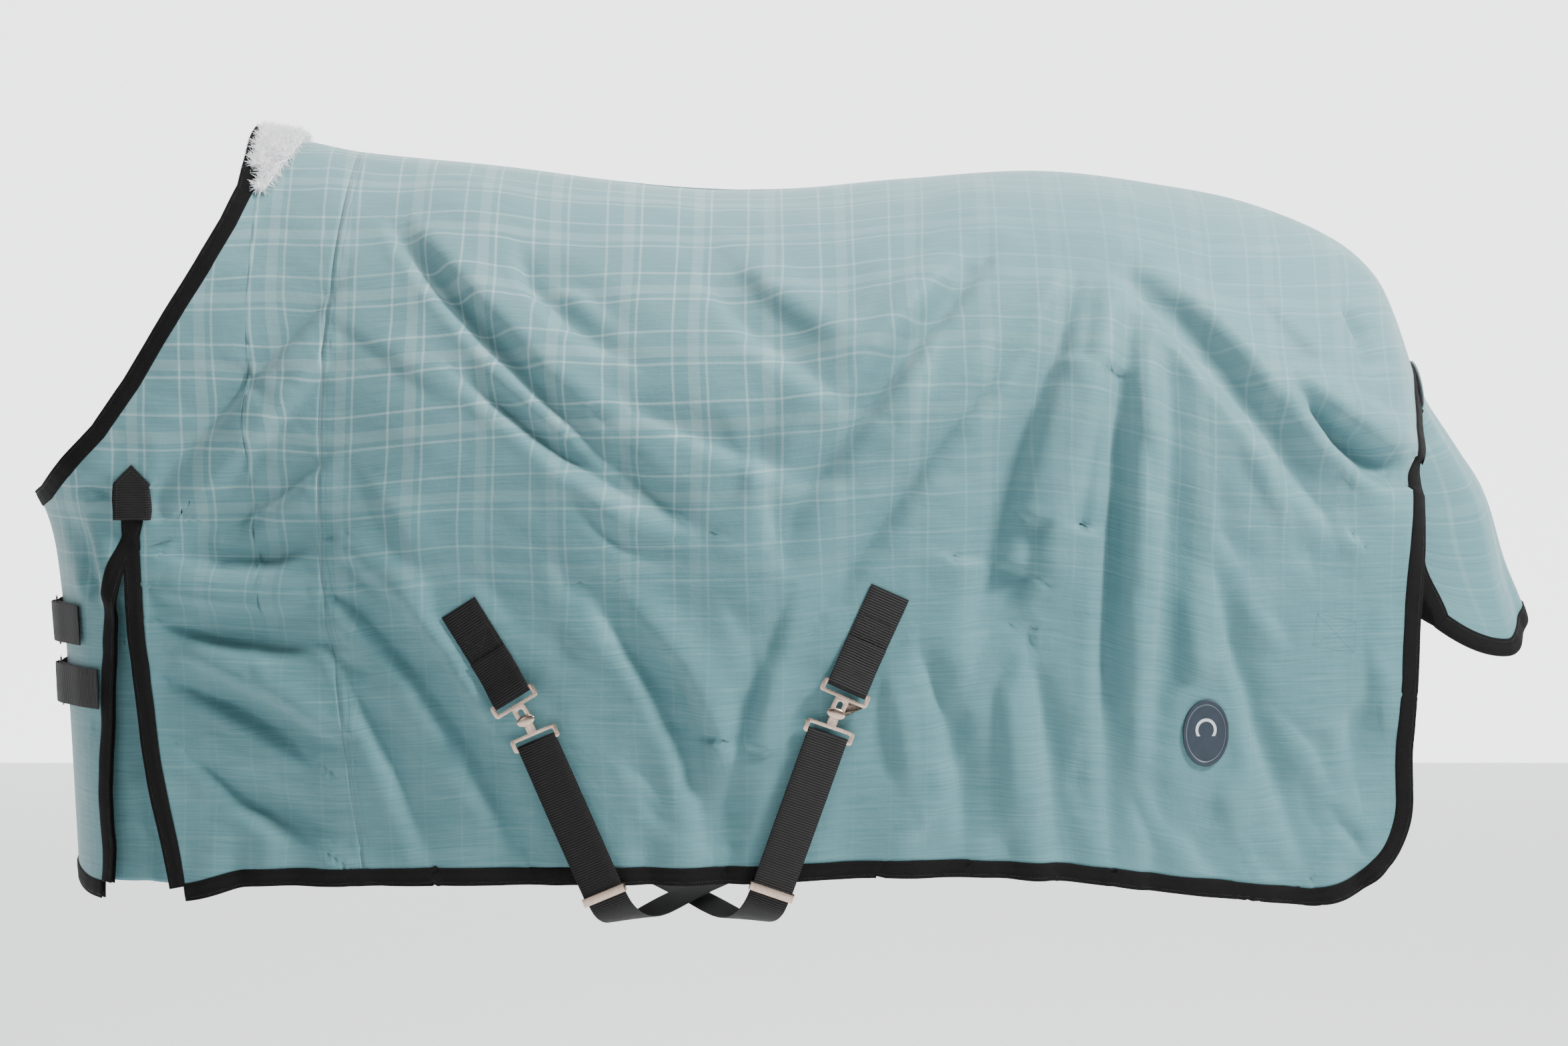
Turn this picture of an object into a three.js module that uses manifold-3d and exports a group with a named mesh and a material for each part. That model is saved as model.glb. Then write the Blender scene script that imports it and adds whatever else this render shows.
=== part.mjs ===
// Turnout rug: a waterproof horse blanket in the shape it takes on a horse.
// Millimetres, +Z up. The horse faces -X, so its left (near) side is -Y and its tail is at +X.
// The origin is on the horse's skin at the top of the withers, where the fleece pad sits.
import * as THREE from "three";
import { mergeVertices } from "three/addons/utils/BufferGeometryUtils.js";
import Module from "manifold-3d";

const wasm = await Module();
wasm.setup();
const V = (x, y, z) => new THREE.Vector3(x, y, z);

// ---- driving dimensions ---------------------------------------------------------------
const BACK_LENGTH = 1446; // withers to the dock, where the tail flap is sewn
const DEPTH = 905; // withers to the hem at the shoulder seam
const BARREL_HALF_WIDTH = 332; // half the width over the horse's barrel
const WEBBING = 50; // surcingle and chest webbing width
const WEBBING_THICK = 1.6;
const BINDING = 20; // width of the bound edge
const BINDING_THICK = 1.4;
const OUTER_THICK = 1.5; // coated outer fabric
const LINING_THICK = 1.2;
const LAYER_GAP = 0.5; // between any two fabric layers
const SEAM_GAP = 0.3; // half the gap at a sewn seam
const CHEST_GAP = 4; // half the gap between the two chest edges
const FLAP_HALF_WIDTH = 118; // tail flap, at its seam
const FLAP_LENGTH = 372;
const CORNER_RADIUS = 110; // rounded rear hem corner
const SLIT_AT_HEM = 107; // how far the shoulder slit opens at the hem
const PLATE_THICK = 2.5; // stamped metal hardware
const FRAME_WIDTH = WEBBING + 12; // metal frames that the webbing runs through
const FRAME_BAR = 4.5;
const STUD_RADIUS = 3;

// Scales that carry the outlines below from the size they were drawn at.
const ALONG = BACK_LENGTH / 1446;
const DOWN = DEPTH / 905;
const ACROSS = BARREL_HALF_WIDTH / 332;

// Offsets from the horse's skin of each fabric layer.
const LINING_IN = LAYER_GAP;
const LINING_OUT = LINING_IN + LINING_THICK;
const SHELL_IN = LINING_OUT + LAYER_GAP;
const SHELL_OUT = SHELL_IN + OUTER_THICK;
const ON_SHELL = SHELL_OUT + LAYER_GAP;

// ---- curves of the horse's outline, seen from the side --------------------------------
// A smooth curve through knots [along, value]; past the ends it runs straight on.
function curve(knots, scaleAlong = 1, scaleValue = 1) {
  const k = knots.map(([a, b]) => [a * scaleAlong, b * scaleValue]).sort((p, q) => p[0] - q[0]);
  const slope = k.map((_, i) => {
    const a = k[Math.max(i - 1, 0)];
    const b = k[Math.min(i + 1, k.length - 1)];
    return (b[1] - a[1]) / (b[0] - a[0]);
  });
  const last = k.length - 1;
  return (x) => {
    if (x <= k[0][0]) return k[0][1] + (x - k[0][0]) * slope[0];
    if (x >= k[last][0]) return k[last][1] + (x - k[last][0]) * slope[last];
    const i = k.findIndex((p) => p[0] > x) - 1;
    const h = k[i + 1][0] - k[i][0];
    const t = (x - k[i][0]) / h;
    const [t2, t3] = [t * t, t * t * t];
    return (
      k[i][1] * (2 * t3 - 3 * t2 + 1) +
      slope[i] * h * (t3 - 2 * t2 + t) +
      k[i + 1][1] * (3 * t2 - 2 * t3) +
      slope[i + 1] * h * (t3 - t2)
    );
  };
}
const topline = curve(
  [[-300, 270], [-100, 88], [0, 0], [60, -12], [120, -24], [300, -42], [510, -68], [640, -72], [805, -58],
    [985, -48], [1150, -68], [1250, -90], [1350, -132], [1402, -176], [1428, -228], [1446, -285]],
  ALONG, DOWN);
const chestLine = curve(
  [[-920, -243], [-727, -252], [-571, -261], [-466, -283], [-380, -345], [-200, -510], [0, -700]], DOWN, ALONG);
const halfWidth = curve(
  [[-283, 172], [-143, 188], [0, 216], [150, 262], [350, 305], [600, 332], [850, 325], [1100, 300], [1300, 266],
    [1446, 232]], ALONG, ACROSS);
const backRadius = curve([[-283, 470], [0, 440], [300, 380], [700, 330], [1100, 300], [1446, 330]], ALONG, DOWN);
const CHEST_RADIUS = 130;
const TUCK = 0.06; // share by which the hem hangs narrower than the widest level
const TUCK_FROM = -500 * DOWN;
const TUCK_TO = -930 * DOWN;

// Lines across the rug in the side view, as x for a height z.
const slitFront = curve([[-320, -160], [-468, -154], [-534, -174], [-617, -187], [-701, -192], [-935, -196]], DOWN, ALONG);
const slitRearLine = curve([[-320, -146], [-467, -143], [-616, -136], [-699, -129], [-783, -117], [-935, -89]], DOWN, ALONG);
const slitRear = (z) => {
  const open = (slitRearLine(z) - slitFront(z)) / (107 * ALONG);
  return slitFront(z) + open * SLIT_AT_HEM * ALONG;
};
const shoulderSeam = curve([[-20, 119], [-162, 100], [-276, 89], [-406, 86], [-529, 89], [-652, 105], [-905, 137]], DOWN, ALONG);
const rearEdge = curve([[-285, 1446], [-413, 1430], [-509, 1424], [-655, 1416], [-752, 1411], [-905, 1418]], DOWN, ALONG);
const hemLine = curve(
  [[-262, -875], [-240, -922], [-196, -936], [-89, -932], [-12, -912], [137, -905], [370, -896], [580, -893],
    [800, -884], [1000, -892], [1134, -908], [1306, -928]], ALONG, DOWN);
// The neck edge from the chest up to where it turns over the withers.
const neckEdge = [[-283, -468], [-259, -452], [-222, -412], [-183, -372], [-143, -314], [-99, -241], [-54, -168],
  [-25, -115], [-6, -70], [0, -30], [2, 0]].map(([x, z]) => [x * ALONG, z * DOWN]);

// ---- the horse's skin, an inflated side view ------------------------------------------
const smooth = (a, b, v) => THREE.MathUtils.smoothstep(v, Math.min(a, b), Math.max(a, b));
const bulge = (share) => 1 - (1 - THREE.MathUtils.clamp(share, 0, 1)) ** 2; // quarter ellipse, squared
const widthAt = (x, z) => halfWidth(x) * (1 - TUCK * (1 - smooth(TUCK_TO, TUCK_FROM, z)));
const fill = (x, z) => bulge((topline(x) - z) / backRadius(x)) * bulge((x - chestLine(z)) / CHEST_RADIUS);

// The point of the skin on the left side at (x, z), and its outward normal.
function skin(x, z, leastY = SEAM_GAP) {
  const y = -Math.max(leastY, widthAt(x, z) * Math.sqrt(fill(x, z)));
  const level = (a, b, c) => fill(a, c) - (b / widthAt(a, c)) ** 2;
  const e = 0.5;
  const n = V(
    level(x - e, y, z) - level(x + e, y, z),
    level(x, y - e, z) - level(x, y + e, z),
    level(x, y, z - e) - level(x, y, z + e));
  if (y === -leastY) n.y = 0; // edges that meet at the middle stay parallel
  return { p: V(x, y, z), n: n.normalize() };
}
// x after a walk of the given length along the skin at one height.
function walkAlong(x, z, length) {
  const slope = (skin(x + 1, z).p.y - skin(x - 1, z).p.y) / 2;
  return x + length / Math.hypot(1, slope);
}
const offset = (s, d) => s.p.clone().addScaledVector(s.n, d);

// ---- solids ----------------------------------------------------------------------------
function closedGeometry(positions, triangles) {
  let volume = 0;
  for (const [a, b, c] of triangles) volume += positions[a].dot(V(0, 0, 0).crossVectors(positions[b], positions[c]));
  const index = volume < 0 ? triangles.map(([a, b, c]) => [a, c, b]) : triangles;
  return new THREE.BufferGeometry()
    .setAttribute("position", new THREE.Float32BufferAttribute(positions.flatMap((p) => p.toArray()), 3))
    .setIndex(index.flat());
}

// Whether a four-cornered cell is split by the diagonal from its first corner. Every layer splits
// its cells by the same rule, so their facets stay parallel.
const shortFirst = (a, b, c, d) => a.distanceTo(c) <= b.distanceTo(d);

// A sheet from a grid of skin points, columns[i][j]; keep(i, j) says which cells are cloth.
// Equal points are one point, so a cell may shrink to a triangle. A cell is split by its shorter
// diagonal unless split(i, j) gives one: true for the one from its first corner.
function sheet(columns, keep = () => true, split = () => undefined) {
  const points = [];
  const known = new Map();
  const idOf = (s) => {
    const key = s.p.toArray().map((v) => v.toFixed(3)).join();
    if (!known.has(key)) known.set(key, points.push(s) - 1);
    return known.get(key);
  };
  const cells = [];
  for (let i = 0; i + 1 < columns.length; i++)
    for (let j = 0; j + 1 < columns[i].length; j++) {
      if (!keep(i, j)) continue;
      const ring = [columns[i][j], columns[i + 1][j], columns[i + 1][j + 1], columns[i][j + 1]].map(idOf);
      const cell = ring.filter((v, k) => v !== ring[(k + 1) % ring.length]);
      if (cell.length === 4 && !(split(i, j) ?? shortFirst(...cell.map((v) => points[v].p)))) cell.push(cell.shift());
      if (cell.length > 2) cells.push(cell);
    }
  return { points, cells };
}

// The solid between two offsets of a sheet.
function thicken({ points, cells }, inner, outer) {
  const n = points.length;
  const positions = [...points.map((s) => offset(s, outer)), ...points.map((s) => offset(s, inner))];
  const edges = new Map();
  const triangles = [];
  for (const cell of cells) {
    for (let k = 1; k + 1 < cell.length; k++) {
      triangles.push([cell[0], cell[k], cell[k + 1]]);
      triangles.push([cell[0] + n, cell[k + 1] + n, cell[k] + n]);
    }
    cell.forEach((a, k) => {
      const b = cell[(k + 1) % cell.length];
      if (!edges.delete(b + "," + a)) edges.set(a + "," + b, [a, b]);
    });
  }
  for (const [a, b] of edges.values()) triangles.push([b, a, a + n], [b, a + n, b + n]);
  return closedGeometry(positions, triangles);
}

// A folded tape over a cloth edge. Each station is [edge point, point one tape width in]. Beside a
// twisting edge, wall says which way the tape's walls are split, to match the cloth's own edge.
const TAPE = {
  out: [ON_SHELL, ON_SHELL + BINDING_THICK],
  into: [LINING_IN - LAYER_GAP, LINING_IN - LAYER_GAP - BINDING_THICK],
  past: [-LAYER_GAP / BINDING, -(LAYER_GAP + BINDING_THICK) / BINDING],
};
function bindEdge(stations, { out, into, past } = TAPE, wall = undefined) {
  const section = [[1, out[1]], [past[1], out[1]], [past[1], into[1]], [1, into[1]],
    [1, into[0]], [past[0], into[0]], [past[0], out[0]], [1, out[0]]];
  const positions = stations.flatMap(([edge, inner]) =>
    section.map(([w, d]) => edge.p.clone().lerp(inner.p, w)
      .addScaledVector(edge.n.clone().lerp(inner.n, Math.max(w, 0)).normalize(), d)));
  const cap = [[0, 1, 6], [0, 6, 7], [1, 2, 5], [1, 5, 6], [2, 3, 4], [2, 4, 5]];
  return sweepRings(positions, section.length, cap, (r, k) => {
    if (wall !== undefined && section[k][0] === section[(k + 1) % section.length][0]) return wall;
    const [here, next] = [stations[r], stations[r + 1]];
    const fromEdge = shortFirst(here[0].p, here[1].p, next[1].p, next[0].p);
    return fromEdge === (section[k][0] < section[(k + 1) % section.length][0]);
  });
}

// Joins rings of equal size, and closes the two ends with the given triangles. forward(r, k) says
// which way the cell after ring r and point k is split.
function sweepRings(positions, size, cap, forward = () => true) {
  const rings = positions.length / size;
  const triangles = [];
  for (let r = 0; r + 1 < rings; r++)
    for (let k = 0; k < size; k++) {
      const [a, b] = [r * size + k, r * size + ((k + 1) % size)];
      if (forward(r, k)) triangles.push([a, b, b + size], [a, b + size, a + size]);
      else triangles.push([a, b, a + size], [b, b + size, a + size]);
    }
  const end = (rings - 1) * size;
  for (const [a, b, c] of cap) triangles.push([a, c, b], [a + end, b + end, c + end]);
  return closedGeometry(positions, triangles);
}

function solidOf(geometry) {
  const bare = geometry.clone();
  bare.deleteAttribute("normal");
  bare.deleteAttribute("uv");
  const merged = mergeVertices(bare, 1e-3);
  return new wasm.Manifold(new wasm.Mesh({
    numProp: 3,
    vertProperties: merged.attributes.position.array,
    triVerts: new Uint32Array(merged.index.array),
  }));
}
function geometryOf(solid) {
  const mesh = solid.getMesh();
  return new THREE.BufferGeometry()
    .setAttribute("position", new THREE.BufferAttribute(mesh.vertProperties, 3))
    .setIndex(new THREE.BufferAttribute(mesh.triVerts, 1));
}
const join = (...geometries) => geometryOf(geometries.map(solidOf).reduce((a, b) => a.add(b)));

const MATERIAL = {
  outer: new THREE.MeshStandardMaterial({ color: 0x7fa6aa, roughness: 0.6, metalness: 0 }),
  lining: new THREE.MeshStandardMaterial({ color: 0x2c3436, roughness: 0.8, metalness: 0 }),
  binding: new THREE.MeshStandardMaterial({ color: 0x1d1b1d, roughness: 0.85, metalness: 0 }),
  webbing: new THREE.MeshStandardMaterial({ color: 0x171415, roughness: 0.75, metalness: 0 }),
  fleece: new THREE.MeshStandardMaterial({ color: 0xf1f1f3, roughness: 1, metalness: 0 }),
  steel: new THREE.MeshStandardMaterial({ color: 0xb9a99b, roughness: 0.3, metalness: 1 }),
  badge: new THREE.MeshStandardMaterial({ color: 0x3a4650, roughness: 0.6, metalness: 0 }),
};
const rug = new THREE.Group();
function add(name, geometry, material, parent = rug) {
  const mesh = new THREE.Mesh(geometry, MATERIAL[material]);
  mesh.name = name;
  parent.add(mesh);
  return mesh;
}
const mirrored = (s) => ({ p: V(s.p.x, -s.p.y, s.p.z), n: V(s.n.x, -s.n.y, s.n.z) });

const range = (a, b) => Array.from({ length: b - a + 1 }, (_, k) => a + k);

// ---- cloth panels ----------------------------------------------------------------------
const ROWS = 11; // rows of cells between the two bound rows
const TIP_Z = -470 * DOWN; // where the shoulder slit ends, under its webbing tip

// Points of a side-view path spaced evenly over the skin, after one or more given distances from
// its start. The last cell is one binding width deep, and the path starts at the spine when curved
// is true.
function column(path, curved, firstStops, leastY) {
  const fine = 160;
  const walk = [];
  let length = 0;
  for (let k = 0; k <= fine; k++) {
    const f = k / fine;
    const [x, z] = path(curved ? f * f : f);
    const s = skin(x, z, leastY);
    if (k) length += s.p.distanceTo(walk[k - 1].s.p);
    walk.push({ s, length });
  }
  const given = [firstStops].flat();
  const start = given[given.length - 1];
  const rows = ROWS + 1 - given.length;
  const inner = length - start - BINDING;
  const stops = [0, ...given, ...range(1, rows).map((r) => start + (inner * r) / rows), length];
  return stops.map((stop) => {
    const k = Math.max(1, walk.findIndex((w) => w.length >= stop - 1e-9));
    const [a, b] = [walk[k - 1], walk[k]];
    const t = THREE.MathUtils.clamp((stop - a.length) / (b.length - a.length), 0, 1);
    const [x, z] = path(curved ? ((k - 1 + t) / fine) ** 2 : (k - 1 + t) / fine);
    return skin(x, z, leastY);
  });
}

// A point of the neck edge at x, found on its knots.
function neckZ(x) {
  const i = Math.max(1, neckEdge.findIndex((k) => k[0] >= x));
  const [[xa, za], [xb, zb]] = [neckEdge[i - 1], neckEdge[i]];
  return za + ((zb - za) * (x - xa)) / (xb - xa);
}

// The point of the neck edge at height z, above the gullet.
function neckAt(z) {
  const i = neckEdge.findIndex((k) => k[1] >= z);
  const [[xa, za], [xb, zb]] = [neckEdge[i - 1], neckEdge[i]];
  return [xa + ((xb - xa) * (z - za)) / (zb - za), z];
}

// Straight-ish column from a top point to the hem, bent like a key line x = line(z).
const lean = (line, shift, top, bottom) => (f) => {
  const z = top[1] + (bottom[1] - top[1]) * f;
  const ends = [top[0] - line(top[1]), bottom[0] - line(bottom[1])];
  return [line(z) + shift + (ends[0] - shift) * (1 - f) + (ends[1] - shift) * f, z];
};
const hemAt = (x) => [x, hemLine(x)];
const STRIP_AT_NECK = BINDING / Math.sin(THREE.MathUtils.degToRad(38)); // columns cross the neck edge at a slant

function shoulderColumns() {
  const columns = [];
  const neckTop = (x) => [x, neckZ(x)];
  // Centre front, its bound width, and one more column round the chest.
  for (const y of [CHEST_GAP, CHEST_GAP + BINDING, 78 * ACROSS]) {
    const xAt = (z) => {
      const full = (y / widthAt(chestLine(z) + CHEST_RADIUS / 2, z)) ** 2;
      return chestLine(z) + CHEST_RADIUS * (1 - Math.sqrt(1 - full));
    };
    let top = -468 * DOWN;
    for (let k = 0; k < 8; k++) top = neckZ(Math.max(xAt(top), neckEdge[0][0]));
    let bottom = -900 * DOWN;
    for (let k = 0; k < 8; k++) bottom = hemLine(xAt(bottom));
    columns.push(column((f) => {
      const z = top + (bottom - top) * f;
      return [xAt(z), z];
    }, false, STRIP_AT_NECK, y));
  }
  // Both sides of the slit, each with its bound width.
  const keyed = (line, apart) => {
    const beside = (z) => (apart ? walkAlong(line(z), z, apart) : line(z));
    const top = neckTop(beside(-320 * DOWN));
    const bottom = hemAt(beside(-930 * DOWN));
    columns.push(column(lean(beside, 0, top, bottom), false, STRIP_AT_NECK, SEAM_GAP));
  };
  keyed(slitFront, -BINDING);
  keyed(slitFront, 0);
  keyed(slitRear, 0);
  keyed(slitRear, BINDING);
  // Back to the shoulder seam: the tops climb the neck edge, turn over the withers and follow the spine.
  const start = [slitRear(-320 * DOWN) + BINDING, slitRear(-935 * DOWN) + BINDING];
  const withers = neckEdge[neckEdge.length - 1][0];
  const tops = [neckTop(-92 * ALONG), neckTop(-46 * ALONG), neckAt(-72 * DOWN), neckAt(-44 * DOWN), neckAt(-20 * DOWN),
    neckAt(-6 * DOWN), [withers, topline(withers)], [62 * ALONG, topline(62 * ALONG)],
    [119 * ALONG - SEAM_GAP, topline(119 * ALONG)]];
  const [STEEP_FROM, STEEP_TO] = [2, 6]; // from the last top below the withers to the one on them
  let level = [];
  tops.forEach((top, k) => {
    const t = (k + 1) / tops.length;
    const x = start[1] + (shoulderSeam(-905 * DOWN) - SEAM_GAP - start[1]) * t;
    const bottom = hemAt(x);
    const bend = (z) => slitRear(z) * (1 - t) + shoulderSeam(z) * t;
    const atSpine = k >= tops.length - 3;
    // Where the neck edge drops as steeply as the columns, they are close together. There the first
    // rows of a column are level with those of the column before it, so that no cell is a sliver
    // over a bulge.
    if (k > STEEP_FROM && k <= STEEP_TO) {
      const drop = skin(...top).p.distanceTo(skin(...tops[k - 1]).p);
      level = [drop, ...level.map((stop) => stop + drop)];
    } else level = [k > STEEP_TO ? BINDING : STRIP_AT_NECK];
    columns.push(column(lean(bend, 0, top, bottom), atSpine, level, SEAM_GAP));
  });
  return columns;
}

const BODY_COLUMNS = 15;
const CORNER_COLUMNS = 4;

// The body panel: inner columns end on a line one binding width inside the hem and the rear edge,
// and a strip of cells outside it carries the binding round the corner.
function bodyColumns() {
  const rearFoot = rearEdge(-820 * DOWN);
  const centre = [rearFoot - CORNER_RADIUS, -818 * DOWN];
  const hemEnd = centre[0];
  const feet = [];
  for (let k = 0; k <= BODY_COLUMNS; k++) {
    const x = shoulderSeam(-905 * DOWN) + SEAM_GAP + ((hemEnd - shoulderSeam(-905 * DOWN) - SEAM_GAP) * k) / BODY_COLUMNS;
    const drop = k < BODY_COLUMNS ? hemLine(x) : centre[1] - CORNER_RADIUS;
    feet.push({ edge: [x, drop], inner: [x, drop + BINDING] });
  }
  for (let k = 1; k <= CORNER_COLUMNS; k++) {
    const a = (k / CORNER_COLUMNS) * (Math.PI / 2);
    const on = (r) => [centre[0] + r * Math.sin(a), centre[1] - r * Math.cos(a)];
    feet.push({ edge: on(CORNER_RADIUS), inner: on(CORNER_RADIUS - BINDING) });
  }
  const last = feet.length - 1;
  const columns = feet.map(({ inner }, k) => {
    const t = Math.min(1, k / (last - 1.5));
    const x = 119 * ALONG + SEAM_GAP + ((1446 - 119) * ALONG - BINDING / 3 - SEAM_GAP) * (k / last);
    const bend = (z) => shoulderSeam(z) * (1 - t) + rearEdge(z) * t;
    return column(lean(bend, 0, [x, topline(x)], inner), true, BINDING, SEAM_GAP);
  });
  // The rear edge itself, and the last inner column one binding width in from it.
  const foot = centre[1];
  const rear = column((f) => {
    const z = topline(1446 * ALONG) + (foot - topline(1446 * ALONG)) * f;
    return [rearEdge(z), z];
  }, true, BINDING, SEAM_GAP);
  columns[last] = rear.map((s, j) => {
    if (j === rear.length - 1) return columns[last][j];
    const along = rear[Math.max(j - 1, 0)].p.clone().sub(rear[j + 1].p).normalize();
    const inward = along.cross(s.n).normalize();
    const p = s.p.clone().addScaledVector(inward, inward.x > 0 ? -BINDING : BINDING);
    return skin(p.x, j ? Math.min(p.z, topline(p.x)) : topline(p.x));
  });
  feet.forEach(({ edge }, k) => columns[k].push(skin(edge[0], edge[1])));
  columns.push([...rear, rear[rear.length - 1]]);
  return columns;
}

const shoulder = shoulderColumns();
const body = bodyColumns();

// The body's outer cloth is two nodes a side, which meet at one column with a sewn seam's gap.
const HALFWAY = 8;
const nudged = (from, to) => from.map((s, j) => {
  const t = SEAM_GAP / 2 / s.p.distanceTo(to[j].p);
  return { p: s.p.clone().lerp(to[j].p, t), n: s.n.clone().lerp(to[j].n, t).normalize() };
});
const bodyHalves = {
  front: [...body.slice(0, HALFWAY), nudged(body[HALFWAY], body[HALFWAY - 1])],
  rear: [nudged(body[HALFWAY], body[HALFWAY + 1]), ...body.slice(HALFWAY + 1)],
};
const SLIT_COLUMN = 4; // the cells between this shoulder column and the next are cut below the tip
const lastRow = shoulder[0].length - 1;
const tipRow = shoulder[SLIT_COLUMN].findIndex((s) => s.p.z < TIP_Z);
const isCloth = (i, j) => i !== SLIT_COLUMN || j < tipRow;

const strip = (columns, i, j, k) => [columns[i][j], columns[i][k]];
const columnStrip = (columns, i, inner, from, to) =>
  columns[i].slice(from, to).map((s, j) => [s, columns[inner][from + j]]);
const bodyLast = body.length - 1;
const bodyRows = body[0].length - 1;

// Edges that carry tape, each as stations of [edge point, inner point].
const edges = {
  neck_binding: range(1, shoulder.length - 7).map((i) => strip(shoulder, i, 0, 1)),
  chest_edge_binding: columnStrip(shoulder, 0, 1, 2, lastRow + 1),
  chest_hem_binding: range(1, SLIT_COLUMN - 1).map((i) => strip(shoulder, i, lastRow, lastRow - 1)),
  gusset_front_binding: columnStrip(shoulder, SLIT_COLUMN, SLIT_COLUMN - 1, tipRow + 1, lastRow + 1),
  gusset_rear_binding: columnStrip(shoulder, SLIT_COLUMN + 1, SLIT_COLUMN + 2, tipRow + 1, lastRow + 1),
  hem_binding: [
    ...range(SLIT_COLUMN + 2, shoulder.length - 1).map((i) => strip(shoulder, i, lastRow, lastRow - 1)),
    ...range(1, bodyLast - 1).map((i) => strip(body, i, bodyRows, bodyRows - 1)),
    ...range(1, bodyRows - 2).reverse().map((j) => [body[bodyLast][j], body[bodyLast - 1][j]]),
  ],
};
// Tapes that meet at a corner stop a little short of each other.
for (const stations of Object.values(edges))
  for (const [end, next] of [[0, 1], [stations.length - 1, stations.length - 2]]) {
    const t = 1.2 / stations[end][0].p.distanceTo(stations[next][0].p);
    stations[end] = stations[end].map((s, k) => ({
      p: s.p.clone().lerp(stations[next][k].p, t),
      n: s.n.clone().lerp(stations[next][k].n, t).normalize(),
    }));
  }

// The gusset is a pleat behind the slit, sewn inside both of its edges and folded inwards.
const GUSSET_OUT = -3;
const GUSSET_FOLD = 34; // how far the pleat folds in at the hem
function gussetColumns() {
  const from = tipRow;
  const width = 6;
  const lines = range(0, width).map(() => []);
  for (let j = from; j <= lastRow; j++) {
    const [a, b] = [shoulder[SLIT_COLUMN - 1][j], shoulder[SLIT_COLUMN + 2][j]];
    const open = (j - from) / (lastRow - from);
    lines.forEach((line, k) => {
      const t = k / width;
      const p = a.p.clone().lerp(b.p, t);
      const n = a.n.clone().lerp(b.n, t).normalize();
      const s = skin(p.x, p.z, SEAM_GAP);
      const fold = Math.sin(Math.PI * t) ** 2 * GUSSET_FOLD * open + 3 * Math.sin(Math.PI * t);
      line.push({ p: s.p.addScaledVector(n, -fold), n });
    });
  }
  return lines;
}
const gusset = gussetColumns();

// The pointed webbing tip sewn over the top of the slit.
const TIP_LENGTH = 68;
const TIP_WIDTH = 46;
const TIP_POINT = 22;
function gussetTip() {
  const foot = TIP_Z - 6;
  const x = (slitFront(foot) + slitRear(foot)) / 2;
  const half = TIP_WIDTH / 2;
  const rows = [[0, half], [TIP_LENGTH / 2, half], [TIP_LENGTH - TIP_POINT, half], [TIP_LENGTH, 1]];
  return [-1, 0, 1].map((side) =>
    rows.map(([up, w]) => skin(x + side * w * 0.97, foot + up, SEAM_GAP)));
}

// ---- flat local frames for webbing and hardware ------------------------------------------
// origin on the skin, a runs along the webbing, b across it and n away from the horse.
function localFrame(origin, normal, toward) {
  const n = normal.clone().normalize();
  const a = toward.clone().addScaledVector(n, -toward.dot(n)).normalize();
  const b = V(0, 0, 0).crossVectors(n, a);
  const at = (along, across, out) =>
    origin.clone().addScaledVector(a, along).addScaledVector(b, across).addScaledVector(n, out);
  const place = (geometry) =>
    geometry.applyMatrix4(new THREE.Matrix4().makeBasis(a, b, n).setPosition(origin));
  return { a, b, n, at, place };
}
// Webbing through points {at, across}; mitred so that bends keep their thickness.
function ribbon(points, width = WEBBING, thick = WEBBING_THICK) {
  const last = points.length - 1;
  const positions = points.flatMap(({ at, across }, i) => {
    const before = at.clone().sub(points[Math.max(i - 1, 0)].at).normalize();
    const after = points[Math.min(i + 1, last)].at.clone().sub(at).normalize();
    const tangent = before.clone().add(after).normalize();
    const reach = 1 / Math.max(0.7, i && i < last ? tangent.dot(after) : 1);
    const side = across.clone().addScaledVector(tangent, -across.dot(tangent)).normalize();
    const face = V(0, 0, 0).crossVectors(side, tangent);
    return [[-1, -1], [1, -1], [1, 1], [-1, 1]].map(([w, f]) =>
      at.clone().addScaledVector(side, (w * width) / 2).addScaledVector(face, (f * reach * thick) / 2));
  });
  // Both wide faces are split along the same diagonal, so a twist can't make them cross.
  return sweepRings(positions, 4, [[0, 1, 2], [0, 2, 3]], (r, k) => k < 2);
}
const flatPath = (frame, path) => path.map(([a, d]) => ({ at: frame.at(a, 0, d), across: frame.b }));
// Stations on the skin from one side-view point to another, with their heights off it.
function skinPath(from, to, lifts) {
  return lifts.map((lift, k) => {
    const t = k / Math.max(1, lifts.length - 1);
    const s = skin(from[0] + (to[0] - from[0]) * t, from[1] + (to[1] - from[1]) * t);
    const along = V(to[0] - from[0], 0, to[1] - from[1]);
    return { at: offset(s, lift), across: V(0, 0, 0).crossVectors(s.n, along).normalize() };
  });
}
// Path of webbing turned round a flat bar, in (along, out): in along the under side, back on top.
// The bar is centred at a0 and fills d0 to d1; turn is +1 when the loop closes towards +a.
const HALF = WEBBING_THICK / 2;
const PLAY = 0.35;
function loopRound(a0, d0, d1, turn) {
  const [under, over] = [d0 - PLAY - HALF, d1 + PLAY + HALF];
  const r = (over - under) / 2;
  const reach = FRAME_BAR / 2;
  const arc = range(1, 5).map((k) => {
    const w = (k / 6) * Math.PI;
    return [a0 + turn * (reach + Math.sin(w) * r * 0.75), (under + over) / 2 - Math.cos(w) * r];
  });
  return [[a0 - turn * reach, under], [a0 + turn * reach, under], ...arc,
    [a0 + turn * reach, over], [a0 - turn * reach, over]];
}
const rounded = (w, h, r, holes = []) => {
  const shape = roundedPath(new THREE.Shape(), 0, 0, w, h, r);
  for (const [x, y, hw, hh, hr] of holes) shape.holes.push(roundedPath(new THREE.Path(), x, y, hw, hh, hr));
  return shape;
};
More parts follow.
